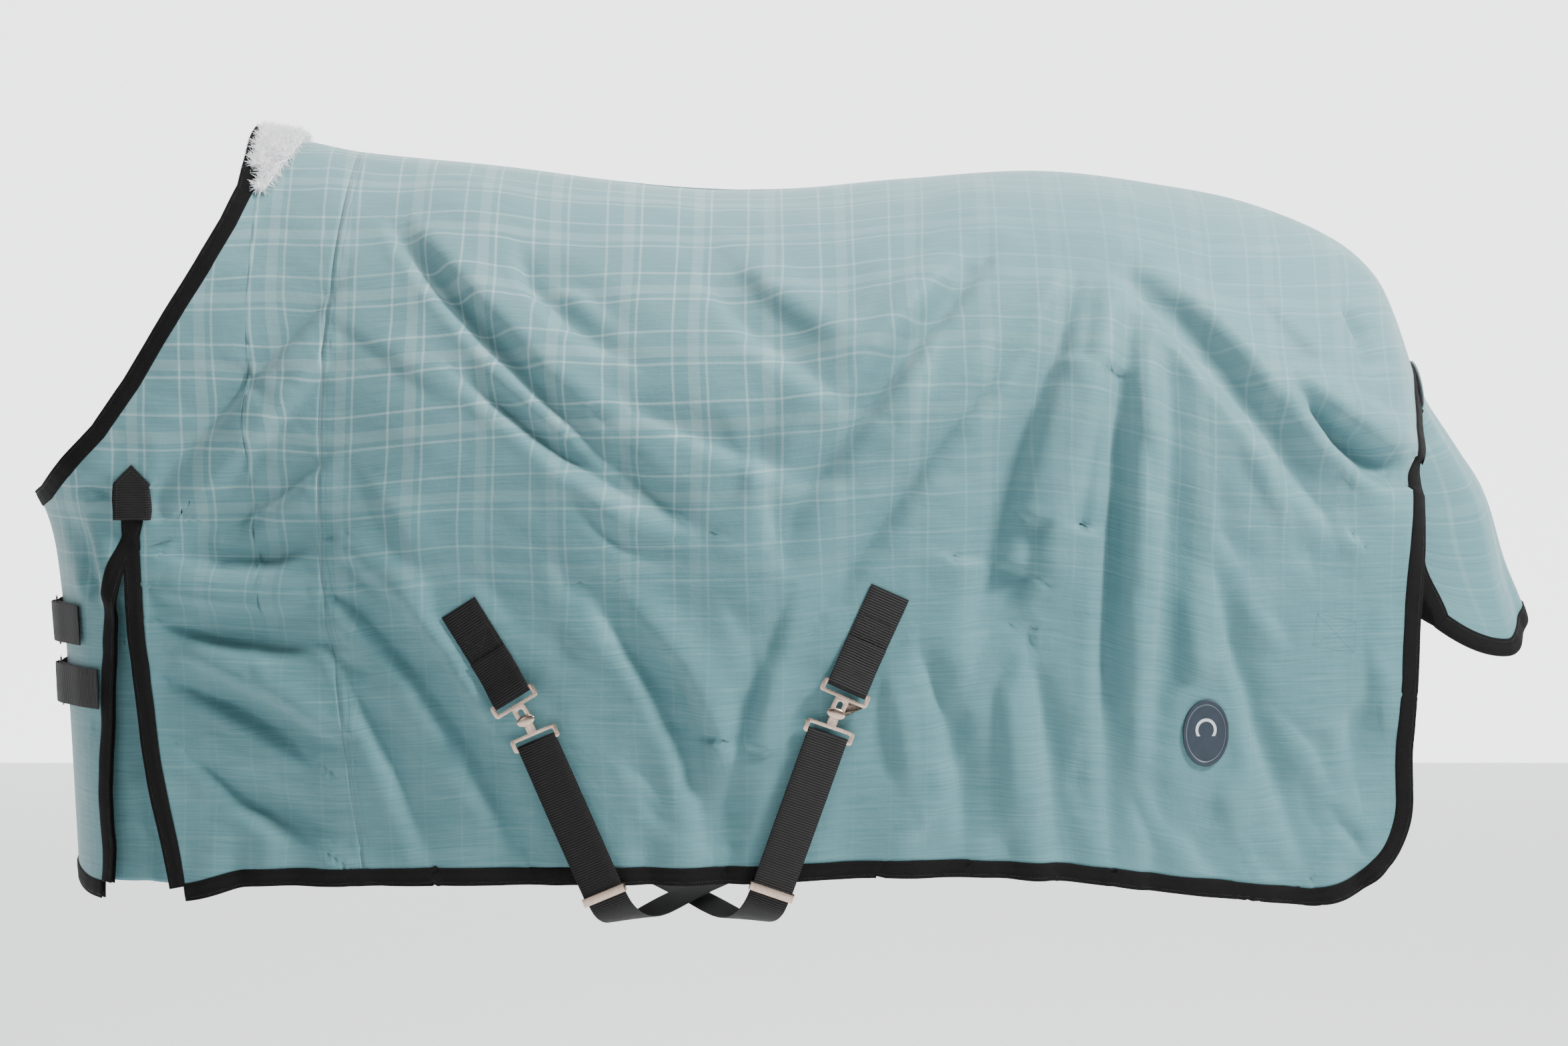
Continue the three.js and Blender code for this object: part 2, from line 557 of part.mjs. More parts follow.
function roundedPath(path, x, y, w, h, r) {
  const [l, b, t, e] = [x - w / 2, y - h / 2, y + h / 2, x + w / 2];
  path.moveTo(l + r, b).lineTo(e - r, b).absarc(e - r, b + r, r, -Math.PI / 2, 0);
  path.lineTo(e, t - r).absarc(e - r, t - r, r, 0, Math.PI / 2);
  path.lineTo(l + r, t).absarc(l + r, t - r, r, Math.PI / 2, Math.PI);
  path.lineTo(l, b + r).absarc(l + r, b + r, r, Math.PI, Math.PI * 1.5);
  return path;
}
const plate = (shape, from, thick, a = 0, b = 0) =>
  new THREE.ExtrudeGeometry(shape, { depth: thick, bevelEnabled: false, curveSegments: 5 }).translate(a, b, from);

// ---- surcingles --------------------------------------------------------------------------
const HOOK_FROM = 10.5; // height of the hook's plate off the skin
const CATCH_FROM = HOOK_FROM + PLATE_THICK + 1.2;
const SLOT = WEBBING + 1; // opening of a metal frame
const FRAME_DEPTH = 17;
const ANCHOR_LENGTH = 160;
const SEWN = 4.5 + HALF; // middle of webbing that is sewn on the outer cloth
const surcingles = [
  { name: "front", anchor: [261, -575], lock: [346, -711], foot: [440, -925] },
  { name: "rear", anchor: [786, -551], lock: [719, -699], foot: [641, -919] },
].map(({ name, anchor, lock, foot }) => {
  const [from, at, to] = [anchor, lock, foot].map(([x, z]) => [x * ALONG, z * DOWN]);
  const top = skin(at[0], at[1]);
  const end = skin(to[0], to[1]);
  const chord = end.p.clone().sub(top.p);
  const drop = localFrame(top.p, top.n.clone().addScaledVector(chord, -top.n.dot(chord) / chord.lengthSq()), chord);
  const head = skin(from[0], from[1]);
  const sewn = localFrame(top.p, drop.n, top.p.clone().sub(head.p));
  return { name, from, at, to, drop, sewn, length: chord.length() };
});

for (const { name, from, at, to, drop, sewn, length } of surcingles) {
  // Sewn anchor whose end turns round the catch's bar.
  const bar = -33.75;
  const loop = loopRound(bar, CATCH_FROM, CATCH_FROM + PLATE_THICK, 1);
  const t = (distance) => 1 - distance / Math.hypot(at[0] - from[0], at[1] - from[1]);
  const point = (distance) => [from[0] + (at[0] - from[0]) * t(distance), from[1] + (at[1] - from[1]) * t(distance)];
  const patch = (lifts, near, far) => skinPath(point(far), point(near), lifts);
  const flat = flatPath(sewn, [[-48, 10.8], ...loop, [-48, 14.5], [-60, 9.4]]);
  add(`surcingle_anchor_${name}_left`,
    ribbon([...patch([SEWN, SEWN, SEWN, SEWN], 74, ANCHOR_LENGTH), { ...patch([SEWN + 1.2], 62, 63)[0] },
      ...flat, ...patch([SEWN + 2.3, SEWN + 2.3], 74, 92).reverse()]), "webbing");
  const tab = rounded(20, 18, 3);
  const catchPlate = join(
    plate(rounded(FRAME_DEPTH, FRAME_WIDTH, 4, [[0, 0, FRAME_DEPTH - 2 * FRAME_BAR, SLOT, 2]]), CATCH_FROM, PLATE_THICK,
      bar - FRAME_BAR / 2 + FRAME_DEPTH / 2),
    plate(rounded(27, 18, 5), CATCH_FROM, PLATE_THICK, -7.5));
  const slot = plate(rounded(19, 2 * STUD_RADIUS + 1, STUD_RADIUS + 0.45), CATCH_FROM - 1, PLATE_THICK + 2, -6);
  add(`surcingle_catch_${name}`, sewn.place(geometryOf(solidOf(catchPlate).subtract(solidOf(slot)))), "steel");

  // The hook: a frame for the webbing, a stud through the catch's slot and an oval head.
  const hookBar = 31;
  const hook = join(
    plate(rounded(FRAME_DEPTH, FRAME_WIDTH, 4, [[0, 0, FRAME_DEPTH - 2 * FRAME_BAR, SLOT, 2]]), HOOK_FROM, PLATE_THICK,
      hookBar + FRAME_BAR / 2 - FRAME_DEPTH / 2),
    plate(rounded(24, 12, 5), HOOK_FROM, PLATE_THICK, 6.5),
    plate(new THREE.Shape().absarc(0, 0, STUD_RADIUS, 0, 2 * Math.PI), HOOK_FROM + 1, CATCH_FROM + PLATE_THICK - HOOK_FROM),
    plate(new THREE.Shape().absellipse(0, 0, 6.5, 11.5, 0, 2 * Math.PI), CATCH_FROM + PLATE_THICK + 0.6, 2.4));
  add(`surcingle_hook_${name}`, drop.place(hook), "steel");

  // Two layers of webbing hang from the hook, held together by a slider.
  const under = HOOK_FROM - PLAY - HALF;
  const over = HOOK_FROM + PLATE_THICK + PLAY + HALF;
  const hang = loopRound(hookBar, HOOK_FROM, HOOK_FROM + PLATE_THICK, -1).map(([a, d]) => [a, d]);
  const foot = length + 12;
  add(`surcingle_drop_${name}`,
    ribbon(flatPath(drop, [[foot, under], [foot / 2, under], ...hang, [foot / 2, over], [foot, over]])), "webbing");
  const wall = 1.9;
  const opening = (d) => [d, 0, WEBBING_THICK + 0.8, WEBBING + 0.8, 0.3];
  const [low, high] = [under - HALF - 0.4 - wall, over + HALF + 0.4 + wall];
  const middle = (low + high) / 2;
  const ring = plate(rounded(high - low, WEBBING + 0.8 + 2 * FRAME_BAR * 0.6, 1.2, [opening(under - middle), opening(over - middle)]),
    -5, 10);
  ring.applyMatrix4(new THREE.Matrix4().makeBasis(V(0, 0, 1), V(0, 1, 0), V(-1, 0, 0))).translate(length, 0, middle);
  add(`surcingle_slider_${name}`, drop.place(ring), "steel");
}

// Each under-belly strap runs from a left drop to the anchor of the other pair on the right.
const BELLY_Z = -966 * DOWN;
surcingles.forEach((near, k) => {
  const far = surcingles[1 - k];
  const under = HOOK_FROM - PLAY - HALF;
  const start = near.drop.at(near.length + 15, 0, under);
  const lift = SEWN + 2.6;
  const climb = skinPath(far.to, far.at, [lift + 1, lift, lift - 0.5, SEWN + 0.3, SEWN]);
  const right = climb.map(({ at, across }) => ({ at: V(at.x, -at.y, at.z), across: V(across.x, -across.y, across.z) }));
  const hem = right[0].at;
  const low = BELLY_Z - k * 6;
  const middle = V((near.to[0] + far.to[0]) / 2, 0, low);
  const bend = new THREE.CubicBezierCurve3(
    start, start.clone().addScaledVector(near.drop.a, 62), V(near.to[0] + (far.to[0] - near.to[0]) * 0.22, -180 * ACROSS, low), middle);
  const rise = right[1].at.clone().sub(hem).normalize();
  const back = new THREE.CubicBezierCurve3(
    middle, V(near.to[0] + (far.to[0] - near.to[0]) * 0.78, 180 * ACROSS, low), hem.clone().addScaledVector(rise, -62), hem);
  const hanging = [...range(0, 7).map((i) => bend.getPoint(i / 8)), ...range(0, 7).map((i) => back.getPoint(i / 8))];
  const sideways = V(far.to[0] - near.to[0], 2 * 315 * ACROSS, 0).normalize();
  const flatAcross = V(sideways.y, -sideways.x, 0);
  const points = hanging.map((at, i) => {
    const t = i / (hanging.length - 1);
    const startAcross = near.drop.b.clone().multiplyScalar(near.drop.b.dot(flatAcross) < 0 ? -1 : 1);
    const endAcross = right[0].across.clone().multiplyScalar(right[0].across.dot(flatAcross) < 0 ? -1 : 1);
    const across = t < 0.5 ? startAcross.lerp(flatAcross, smooth(0, 0.4, t)) : flatAcross.clone().lerp(endAcross, smooth(0.6, 1, t));
    return { at, across };
  });
  const flip = right[0].across.dot(flatAcross) < 0 ? -1 : 1;
  const rest = right.map(({ at, across }) => ({ at, across: across.clone().multiplyScalar(flip) }));
  add(`belly_strap_${near.name}`, ribbon([...points, ...rest]), "webbing");
  // Sewn anchor on the right, butted on the strap's end.
  const t = (distance) => 1 - distance / Math.hypot(far.at[0] - far.from[0], far.at[1] - far.from[1]);
  const near1 = [0, 1].map((i) => far.from[i] + (far.at[i] - far.from[i]) * t(6));
  add(`surcingle_anchor_${far.name}_right`,
    ribbon(skinPath(far.from, near1, [SEWN, SEWN, SEWN, SEWN]).map(({ at, across }) =>
      ({ at: V(at.x, -at.y, at.z), across: V(across.x, -across.y, across.z) }))), "webbing");
});

// ---- chest fastenings --------------------------------------------------------------------
// A point of the chest at the given distance left of the middle.
function chestPoint(y, z) {
  const full = Math.min(0.98, (y / widthAt(chestLine(z) + CHEST_RADIUS / 2, z)) ** 2);
  const x = chestLine(z) + CHEST_RADIUS * (1 - Math.sqrt(1 - full));
  const level = (dx, dy, dz) => fill(x + dx, z + dz) - ((y + dy) / widthAt(x + dx, z + dz)) ** 2;
  const n = V(level(-0.5, 0, 0) - level(0.5, 0, 0), level(0, 0.5, 0) - level(0, -0.5, 0),
    level(0, 0, -0.5) - level(0, 0, 0.5)).normalize();
  if (n.x > 0) n.negate();
  n.y = -Math.abs(n.y) * Math.sign(y || 1);
  return { p: V(x, -y, z), n };
}
const chestPath = (z, list, slant = 0) => list.map(([y, lift]) => {
  const s = chestPoint(Math.abs(y), z - slant * Math.abs(y));
  const side = y < 0 ? mirrored(s) : s;
  const along = V(0, 1, 0).addScaledVector(side.n, -side.n.y);
  return { at: offset(side, lift), across: V(0, 0, 0).crossVectors(side.n, along).normalize() };
});
const CHEST_STRAPS = [["upper", -612 * DOWN, 128], ["lower", -690 * DOWN, 150]];
const BUCKLE_DEPTH = 34;
const BUCKLE_FROM = 10;
for (const [name, z, tail] of CHEST_STRAPS) {
  const mid = chestPoint(37, z);
  const buckle = localFrame(mid.p, mid.n, V(0, -1, 0)); // a runs to the horse's left
  const bar = BUCKLE_DEPTH / 2 - FRAME_BAR / 2;
  add(`chest_buckle_${name}`, buckle.place(plate(
    rounded(BUCKLE_DEPTH, FRAME_WIDTH, 5, [[0, 0, BUCKLE_DEPTH - 2 * FRAME_BAR, SLOT, 2]]), BUCKLE_FROM, PLATE_THICK)), "steel");

  // Tab on the left, turned round the buckle's outer bar, with a notch for the prong.
  const loop = loopRound(bar, BUCKLE_FROM, BUCKLE_FROM + PLATE_THICK, -1);
  const tab = ribbon([...chestPath(z, [[118, SEWN], [98, SEWN], [76, SEWN + 0.6]]),
    ...flatPath(buckle, [[bar + 9, 8.2], ...loop.map(([a, d]) => [a, d]), [bar + 9, 13], [bar + 20, 9.4]]),
    ...chestPath(z, [[84, SEWN + 2.6], [92, SEWN + 2.4]])].map((s) => ({ at: s.at, across: buckle.b })));
  const notch = buckle.place(new THREE.BoxGeometry(15, 8.5, 8).translate(bar - 1.5, 0, 11.3));
  add(`chest_tab_${name}`, geometryOf(solidOf(tab).subtract(solidOf(notch))), "webbing");

  // Prong: a ring round the outer bar and a tongue that rests on the inner bar.
  const hub = plate(rounded(9, 9, 4.4, [[0, 0, 6, 6, 2.9]]), -2.5, 5);
  hub.applyMatrix4(new THREE.Matrix4().makeBasis(V(1, 0, 0), V(0, 0, 1), V(0, -1, 0)));
  hub.translate(bar, 0, BUCKLE_FROM + PLATE_THICK / 2);
  const tongue = new THREE.BoxGeometry(BUCKLE_DEPTH - 7, 4, 1.9)
    .translate(bar - 3.4 - (BUCKLE_DEPTH - 7) / 2, 0, BUCKLE_FROM + PLATE_THICK + 1.2);
  add(`chest_prong_${name}`, buckle.place(join(hub, tongue)), "steel");

  // Strap sewn on the right, through the buckle and over its tab.
  const path = [...chestPath(z, [[-118, SEWN], [-92, SEWN], [-62, SEWN + 1], [-30, 8.3], [0, 8.6]]),
    ...flatPath(buckle, [[-20, 8.5], [-12.4, 8.7], [-7, 12.2], [0, 16], [8, 17.8], [18, 17.6]]),
    ...chestPath(z, [[74, 15], [96, 10.4], [118, 8.9], [tail, 8.6]])].map((s) => ({ at: s.at, across: buckle.b }));
  const hole = buckle.place(new THREE.BoxGeometry(24.5, 7, 12).translate(1.25, 0, 13.2));
  add(`chest_strap_${name}`, geometryOf(solidOf(ribbon(path)).subtract(solidOf(hole))), "webbing");
}

// ---- fleece, tail flap, badge and leg-strap rings ------------------------------------------
// Wither pad: cut from the same facets as the cloth, outside and inside, and rolled over the edge.
const FLEECE = { out: [SHELL_OUT + 2, SHELL_OUT + 9], into: [-1.4, -9], past: [-0.25, -0.95] };
const PAD_ROLL = 12;
const PAD = [[-60, 30], [49, 30], [49, -9], [29, -42], [10, -70], [-60, -64]];
function fleecePad() {
  const tops = shoulder.slice(-6, -2).map((c) => c[0]);
  const left = tops.slice(0, -1).map((s) => {
    const x = s.p.x + PAD_ROLL;
    return [s, skin(x, Math.min(s.p.z, topline(x) - 2.2))];
  });
  const ridge = tops[tops.length - 1].p;
  const middle = [ridge.x, ridge.x + PAD_ROLL].map((x) => skin(x, topline(x), 0));
  const roll = bindEdge([...left, middle, ...left.map((pair) => pair.map(mirrored)).reverse()], FLEECE);
  const outline = new THREE.Shape(PAD.map(([x, z]) => new THREE.Vector2(x * ALONG, z * DOWN)));
  const cutter = new THREE.ExtrudeGeometry(outline, { depth: 400, bevelEnabled: false }).translate(0, 0, -200).rotateX(Math.PI / 2);
  const cover = (turn, from, to) => {
    const near = shoulder.slice(-8).map((c) => c.slice(0, 8).map(turn));
    return solidOf(thicken(sheet(near), from, to)).intersect(solidOf(cutter));
  };
  const layers = [mirrored, (s) => s].flatMap((turn) =>
    [cover(turn, ...FLEECE.out), cover(turn, FLEECE.into[1], FLEECE.into[0])]);
  const room = [(s) => s, mirrored].flatMap((turn) => {
    const cloth = shoulder.map((c) => c.map(turn));
    return [[-1, SHELL_OUT + 1.6], [LINING_IN, LINING_OUT], [SHELL_IN, SHELL_OUT]].map(
      ([from, to]) => solidOf(thicken(sheet(cloth, isCloth), from, to)));
  });
  const whole = room.reduce((a, b) => a.subtract(b), layers.reduce((a, b) => a.add(b), solidOf(roll)));
  return geometryOf(whole.decompose().reduce((a, b) => (a.volume() > b.volume() ? a : b)));
}
add("wither_fleece", fleecePad(), "fleece");

const flapMiddle = curve([[-290, 1453], [-367, 1504], [-452, 1539], [-545, 1569], [-610, 1592], [-680, 1612]], DOWN, ALONG);
const flapSide = curve([[-331, 1447], [-450, 1447], [-570, 1451], [-668, 1462], [-760, 1474]], DOWN, ALONG);
const FLAP_COLUMNS = 10;
const FLAP_ROWS = 6;
function flapColumns() {
  const sewnAt = (y) => {
    const share = Math.min(0.9, (y / widthAt(1446 * ALONG, -300 * DOWN)) ** 2);
    return topline(1446 * ALONG) - backRadius(1446 * ALONG) * (1 - Math.sqrt(1 - share)) - 1;
  };
  const stretch = FLAP_LENGTH / 372;
  const surface = (v, s) => {
    const y = v * FLAP_HALF_WIDTH * (1 + 0.06 * s);
    const top = sewnAt(Math.abs(v) * FLAP_HALF_WIDTH);
    const bottom = top - (325 + 26 * smooth(0, 0.7, Math.abs(v))) * stretch * DOWN;
    const round = (1 - Math.sqrt(1 - Math.max(0, (Math.abs(v) - 0.55) / 0.45) ** 2 * 0.96)) * 88;
    const z = top + (bottom + round - top) * s;
    const full = Math.sqrt(1 - v * v * 0.98);
    const x = flapSide(z) + (flapMiddle(z) - flapSide(z)) * full * smooth(-0.12, 0.5, s) + 4.5 + 2 * (1 - s);
    return V(x, y, z);
  };
  const point = (v, s) => {
    const e = 0.002;
    const across = surface(v + (v < 0 ? e : -e), s).sub(surface(v, s)).multiplyScalar(v < 0 ? 1 : -1);
    const down = surface(v, s + (s < 1 ? e : -e)).sub(surface(v, s)).multiplyScalar(s < 1 ? 1 : -1);
    const n = V(0, 0, 0).crossVectors(down, across).normalize();
    if (n.x < 0) n.negate();
    return { p: surface(v, s), n };
  };
  const length = FLAP_LENGTH * DOWN;
  const rim = BINDING / length;
  const side = BINDING / FLAP_HALF_WIDTH;
  const vs = [-1, -1 + side, ...range(1, FLAP_COLUMNS - 1).map((k) => (1 - side) * (-1 + (2 * k) / FLAP_COLUMNS)), 1 - side, 1];
  const ss = [...range(0, FLAP_ROWS).map((k) => ((1 - rim) * k) / FLAP_ROWS), 1];
  return vs.map((v) => ss.map((t) => point(v, t)));
}
const flap = flapColumns();
const flapRows = flap[0].length - 1;
const flapLast = flap.length - 1;
// The tape turns each lower corner on the diagonal through it, so the cloth's corner cell does too.
const throughCorner = (i, j) => (j === flapRows - 1 ? { 0: false, [flapLast - 1]: true }[i] : undefined);
const flapSheet = sheet(flap, undefined, throughCorner);
add("tail_flap", thicken(flapSheet, SHELL_IN, SHELL_OUT), "outer");
add("tail_flap_lining", thicken(flapSheet, LINING_IN, LINING_OUT), "lining");
add("tail_flap_binding", bindEdge([
  ...range(1, flapRows - 1).map((j) => [flap[0][j], flap[1][j]]),
  [flap[0][flapRows], flap[1][flapRows - 1]],
  ...range(1, flapLast - 1).map((i) => [flap[i][flapRows], flap[i][flapRows - 1]]),
  [flap[flapLast][flapRows], flap[flapLast - 1][flapRows - 1]],
  ...range(1, flapRows - 1).reverse().map((j) => [flap[flapLast][j], flap[flapLast - 1][j]]),
], TAPE, false), "binding");

const BADGE = { at: [1171 * ALONG, -730 * DOWN], half: [28.5, 41.5], thick: 2.4 };
const badge = range(0, 24).map((k) => {
  const w = (-k / 24) * 2 * Math.PI;
  return [0.0001, 0.5, 1].map((r) =>
    skin(BADGE.at[0] + BADGE.half[0] * r * Math.cos(w), BADGE.at[1] + BADGE.half[1] * r * Math.sin(w)));
});
badge.forEach((spoke) => (spoke[0] = badge[0][0]));
badge[24] = badge[0];
add("maker_badge", thicken(sheet(badge), ON_SHELL + 0.7, ON_SHELL + 0.7 + BADGE.thick), "badge");

// A leg-strap ring hangs inside each flank from a sewn loop, behind the cross-stitched patch.
const LEG = [1331 * ALONG, -604 * DOWN];
const ringSpot = skin(LEG[0], LEG[1]);
const inner = localFrame(ringSpot.p, ringSpot.n, V(-0.22, 0, -1));
const RING_BAR = 3.4;
const RING_THICK = 2.6;
const RING_HALF = 28;
const ringBar = 26;
const RING_DEPTH = -7.4; // middle of the ring, inside the lining
const legLoop = ribbon(flatPath(inner, [[-30, -2], [4, -2.2], [16, -3.2], [ringBar - 2.4, -3.9], [ringBar, -3.9],
  [ringBar + 2.6, -5], [ringBar + 3.7, -7.4], [ringBar + 2.6, -9.8], [ringBar, -10.9], [ringBar - 6, -9.8], [4, -5.4], [-26, -4.6]]), 44);
// A stamped D: straight bar through the loop, bow below it.
function ringOutline(path, inset) {
  const r = RING_HALF - inset;
  path.moveTo(-RING_BAR / 2 + inset, -r).lineTo(8, -r).absarc(8, 0, r, -Math.PI / 2, Math.PI / 2).lineTo(-RING_BAR / 2 + inset, r);
  return path.closePath();
}
const ringShape = ringOutline(new THREE.Shape(), 0);
ringShape.holes.push(ringOutline(new THREE.Path(), RING_BAR));
const ring = new THREE.ExtrudeGeometry(ringShape, { depth: RING_THICK, bevelEnabled: false, curveSegments: 16 })
  .translate(ringBar, 0, RING_DEPTH - RING_THICK / 2);
for (const [side, turn] of [["left", false], ["right", true]]) {
  const flip = (g) => {
    const made = inner.place(g.clone());
    if (!turn) return made;
    const solid = solidOf(made).mirror([0, 1, 0]);
    return geometryOf(solid);
  };
  const loop = turn ? geometryOf(solidOf(legLoop).mirror([0, 1, 0])) : legLoop;
  add(`leg_loop_${side}`, loop, "webbing");
  add(`leg_ring_${side}`, flip(ring), "steel");
}

const sides = [["left", (s) => s], ["right", mirrored]];
for (const [side, turn] of sides) {
  const own = (columns) => columns.map((c) => c.map(turn));
  const shoulderSheet = sheet(own(shoulder), isCloth);
  const bodySheet = sheet(own(body));
  add(`shoulder_panel_${side}`, thicken(shoulderSheet, SHELL_IN, SHELL_OUT), "outer");
  for (const [name, columns] of Object.entries(bodyHalves))
    add(`body_panel_${name}_${side}`, thicken(sheet(own(columns)), SHELL_IN, SHELL_OUT), "outer");
  add(`shoulder_lining_${side}`, thicken(shoulderSheet, LINING_IN, LINING_OUT), "lining");
  add(`body_lining_${side}`, thicken(bodySheet, LINING_IN, LINING_OUT), "lining");
  add(`gusset_${side}`, thicken(sheet(own(gusset)), GUSSET_OUT - OUTER_THICK, GUSSET_OUT), "outer");
  add(`gusset_tip_${side}`,
    thicken(sheet(own(gussetTip())), ON_SHELL + BINDING_THICK + LAYER_GAP,
      ON_SHELL + BINDING_THICK + LAYER_GAP + WEBBING_THICK), "webbing");
  for (const [name, stations] of Object.entries(edges))
    add(`${name}_${side}`, bindEdge(stations.map((pair) => pair.map(turn))), "binding");
}

export default rug;
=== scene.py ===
import math

import bpy
import bmesh
import numpy as np
from mathutils import Matrix, Vector


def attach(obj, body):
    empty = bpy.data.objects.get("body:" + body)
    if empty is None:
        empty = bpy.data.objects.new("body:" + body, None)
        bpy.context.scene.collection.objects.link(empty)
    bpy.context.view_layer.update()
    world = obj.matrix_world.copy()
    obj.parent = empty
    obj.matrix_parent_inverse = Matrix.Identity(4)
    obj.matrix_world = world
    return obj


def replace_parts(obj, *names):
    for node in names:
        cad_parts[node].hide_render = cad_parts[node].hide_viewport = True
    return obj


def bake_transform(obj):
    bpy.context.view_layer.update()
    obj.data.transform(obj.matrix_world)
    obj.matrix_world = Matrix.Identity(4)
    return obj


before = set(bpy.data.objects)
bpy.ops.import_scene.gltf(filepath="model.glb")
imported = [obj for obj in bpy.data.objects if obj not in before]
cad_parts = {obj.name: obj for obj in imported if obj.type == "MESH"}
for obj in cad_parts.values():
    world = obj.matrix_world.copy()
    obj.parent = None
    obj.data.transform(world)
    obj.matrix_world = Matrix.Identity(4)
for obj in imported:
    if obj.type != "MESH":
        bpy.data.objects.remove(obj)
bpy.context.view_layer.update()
MM = 0.001

# ---- sizes of the rug ------------------------------------------------------------------------
TAPE = 20.0  # bound edge
WEB = 50.0  # webbing width
WEB_THICK = 1.6
LINING = (0.5, 1.7)  # offsets from the horse's skin
SHELL = (2.2, 3.7)
ON_SHELL = 4.2
SEAM = 0.3
BUTT = 0.05  # half the gap between two sewn panels
CHEST_RADIUS = 130.0
TIP_Z = -470.0


def curve(*knots):
    """A smooth curve through (along, value) knots, straight past its ends."""
    k = np.array(sorted(knots), float)
    xs, ys = k[:, 0], k[:, 1]
    slope = np.empty(len(k))
    slope[1:-1] = (ys[2:] - ys[:-2]) / (xs[2:] - xs[:-2])
    slope[0] = (ys[1] - ys[0]) / (xs[1] - xs[0])
    slope[-1] = (ys[-1] - ys[-2]) / (xs[-1] - xs[-2])

    def at(x):
        x = np.asarray(x, float)
        i = np.clip(np.searchsorted(xs, x, side="right") - 1, 0, len(xs) - 2)
        h = xs[i + 1] - xs[i]
        t = np.clip((x - xs[i]) / h, 0, 1)
        y = (
            ys[i] * (2 * t**3 - 3 * t**2 + 1)
            + slope[i] * h * (t**3 - 2 * t**2 + t)
            + ys[i + 1] * (3 * t**2 - 2 * t**3)
            + slope[i + 1] * h * (t**3 - t**2)
        )
        return y + np.minimum(x - xs[0], 0) * slope[0] + np.maximum(x - xs[-1], 0) * slope[-1]

    return at


topline = curve((-300, 270), (-100, 88), (0, 0), (60, -12), (120, -24), (300, -42), (510, -68), (640, -72),
                (805, -58), (985, -48), (1150, -68), (1250, -90), (1350, -132), (1402, -176), (1428, -228), (1446, -285))
chest_line = curve((-920, -243), (-727, -252), (-571, -261), (-466, -283), (-380, -345), (-200, -510), (0, -700))
half_width = curve((-283, 172), (-143, 188), (0, 216), (150, 262), (350, 305), (600, 332), (850, 325), (1100, 300),
                   (1300, 266), (1446, 232))
back_radius = curve((-283, 470), (0, 440), (300, 380), (700, 330), (1100, 300), (1446, 330))
slit_front = curve((-320, -160), (-468, -154), (-534, -174), (-617, -187), (-701, -192), (-935, -196))
slit_rear = curve((-320, -146), (-467, -143), (-616, -136), (-699, -129), (-783, -117), (-935, -89))
shoulder_seam = curve((-20, 119), (-162, 100), (-276, 89), (-406, 86), (-529, 89), (-652, 105), (-905, 137))
rear_edge = curve((-285, 1446), (-413, 1430), (-509, 1424), (-655, 1416), (-752, 1411), (-905, 1418))
hem_line = curve((-262, -875), (-240, -922), (-196, -936), (-89, -932), (-12, -912), (137, -905), (370, -896),
                 (580, -893), (800, -884), (1000, -892), (1134, -908), (1306, -928))
NECK = np.array([(-283, -468), (-259, -452), (-222, -412), (-183, -372), (-143, -314), (-99, -241), (-54, -168),
                 (-25, -115), (-6, -70), (0, -30), (2, 0)], float)


def step(a, b, v):
    t = np.clip((v - a) / (b - a), 0, 1)
    return t * t * (3 - 2 * t)


def width_at(x, z):
    return half_width(x) * (1 - 0.06 * (1 - step(-930, -500, z)))


def bulge(share):
    return 1 - (1 - np.clip(share, 0, 1)) ** 2


def fill(x, z):
    return bulge((topline(x) - z) / back_radius(x)) * bulge((x - chest_line(z)) / CHEST_RADIUS)


def skin(x, z, least=SEAM):
    """Points of the horse's skin on the near side, and their outward normals."""
    x, z = np.asarray(x, float), np.asarray(z, float)
    raw = width_at(x, z) * np.sqrt(fill(x, z))
    y = -np.maximum(raw, least)
    level = lambda a, b, c: fill(a, c) - (b / width_at(a, c)) ** 2
    e = 0.5
    n = np.stack([level(x - e, y, z) - level(x + e, y, z), level(x, y - e, z) - level(x, y + e, z),
                  level(x, y, z - e) - level(x, y, z + e)], -1)
    n[..., 1] = np.where(raw <= least, 0, n[..., 1])
    n /= np.maximum(np.linalg.norm(n, axis=-1, keepdims=True), 1e-9)
    return np.stack([x, y, z], -1), n


def unit(v):
    return v / np.maximum(np.linalg.norm(v, axis=-1, keepdims=True), 1e-9)


# ---- where the cloth runs: distance over the back from the spine, for the weave --
_xs = np.linspace(-300, 1460, 89)
_ds = np.linspace(0, 1, 161) ** 2 * 960
_dx, _dd = np.meshgrid(_xs, _ds, indexing="ij")
_dy = width_at(_dx, topline(_dx) - _dd) * np.sqrt(bulge(_dd / back_radius(_dx)))
_run = np.concatenate([np.zeros((89, 1)), np.cumsum(np.hypot(np.diff(_dy, axis=1), np.diff(_dd, axis=1)), axis=1)], 1)


def down_the_cloth(x, z):
    x = np.clip(x, 90, 1180)
    above = np.maximum(z - topline(x), 0)
    fx = np.clip((x + 300) / 20, 0, 87.999)
    fd = np.clip(np.sqrt(np.clip(topline(x) - z, 0, 960) / 960) * 160, 0, 159.999)
    i, j = fx.astype(int), fd.astype(int)
    a, b = fx - i, fd - j
    return ((1 - a) * ((1 - b) * _run[i, j] + b * _run[i, j + 1])
            + a * ((1 - b) * _run[i + 1, j] + b * _run[i + 1, j + 1])) - above


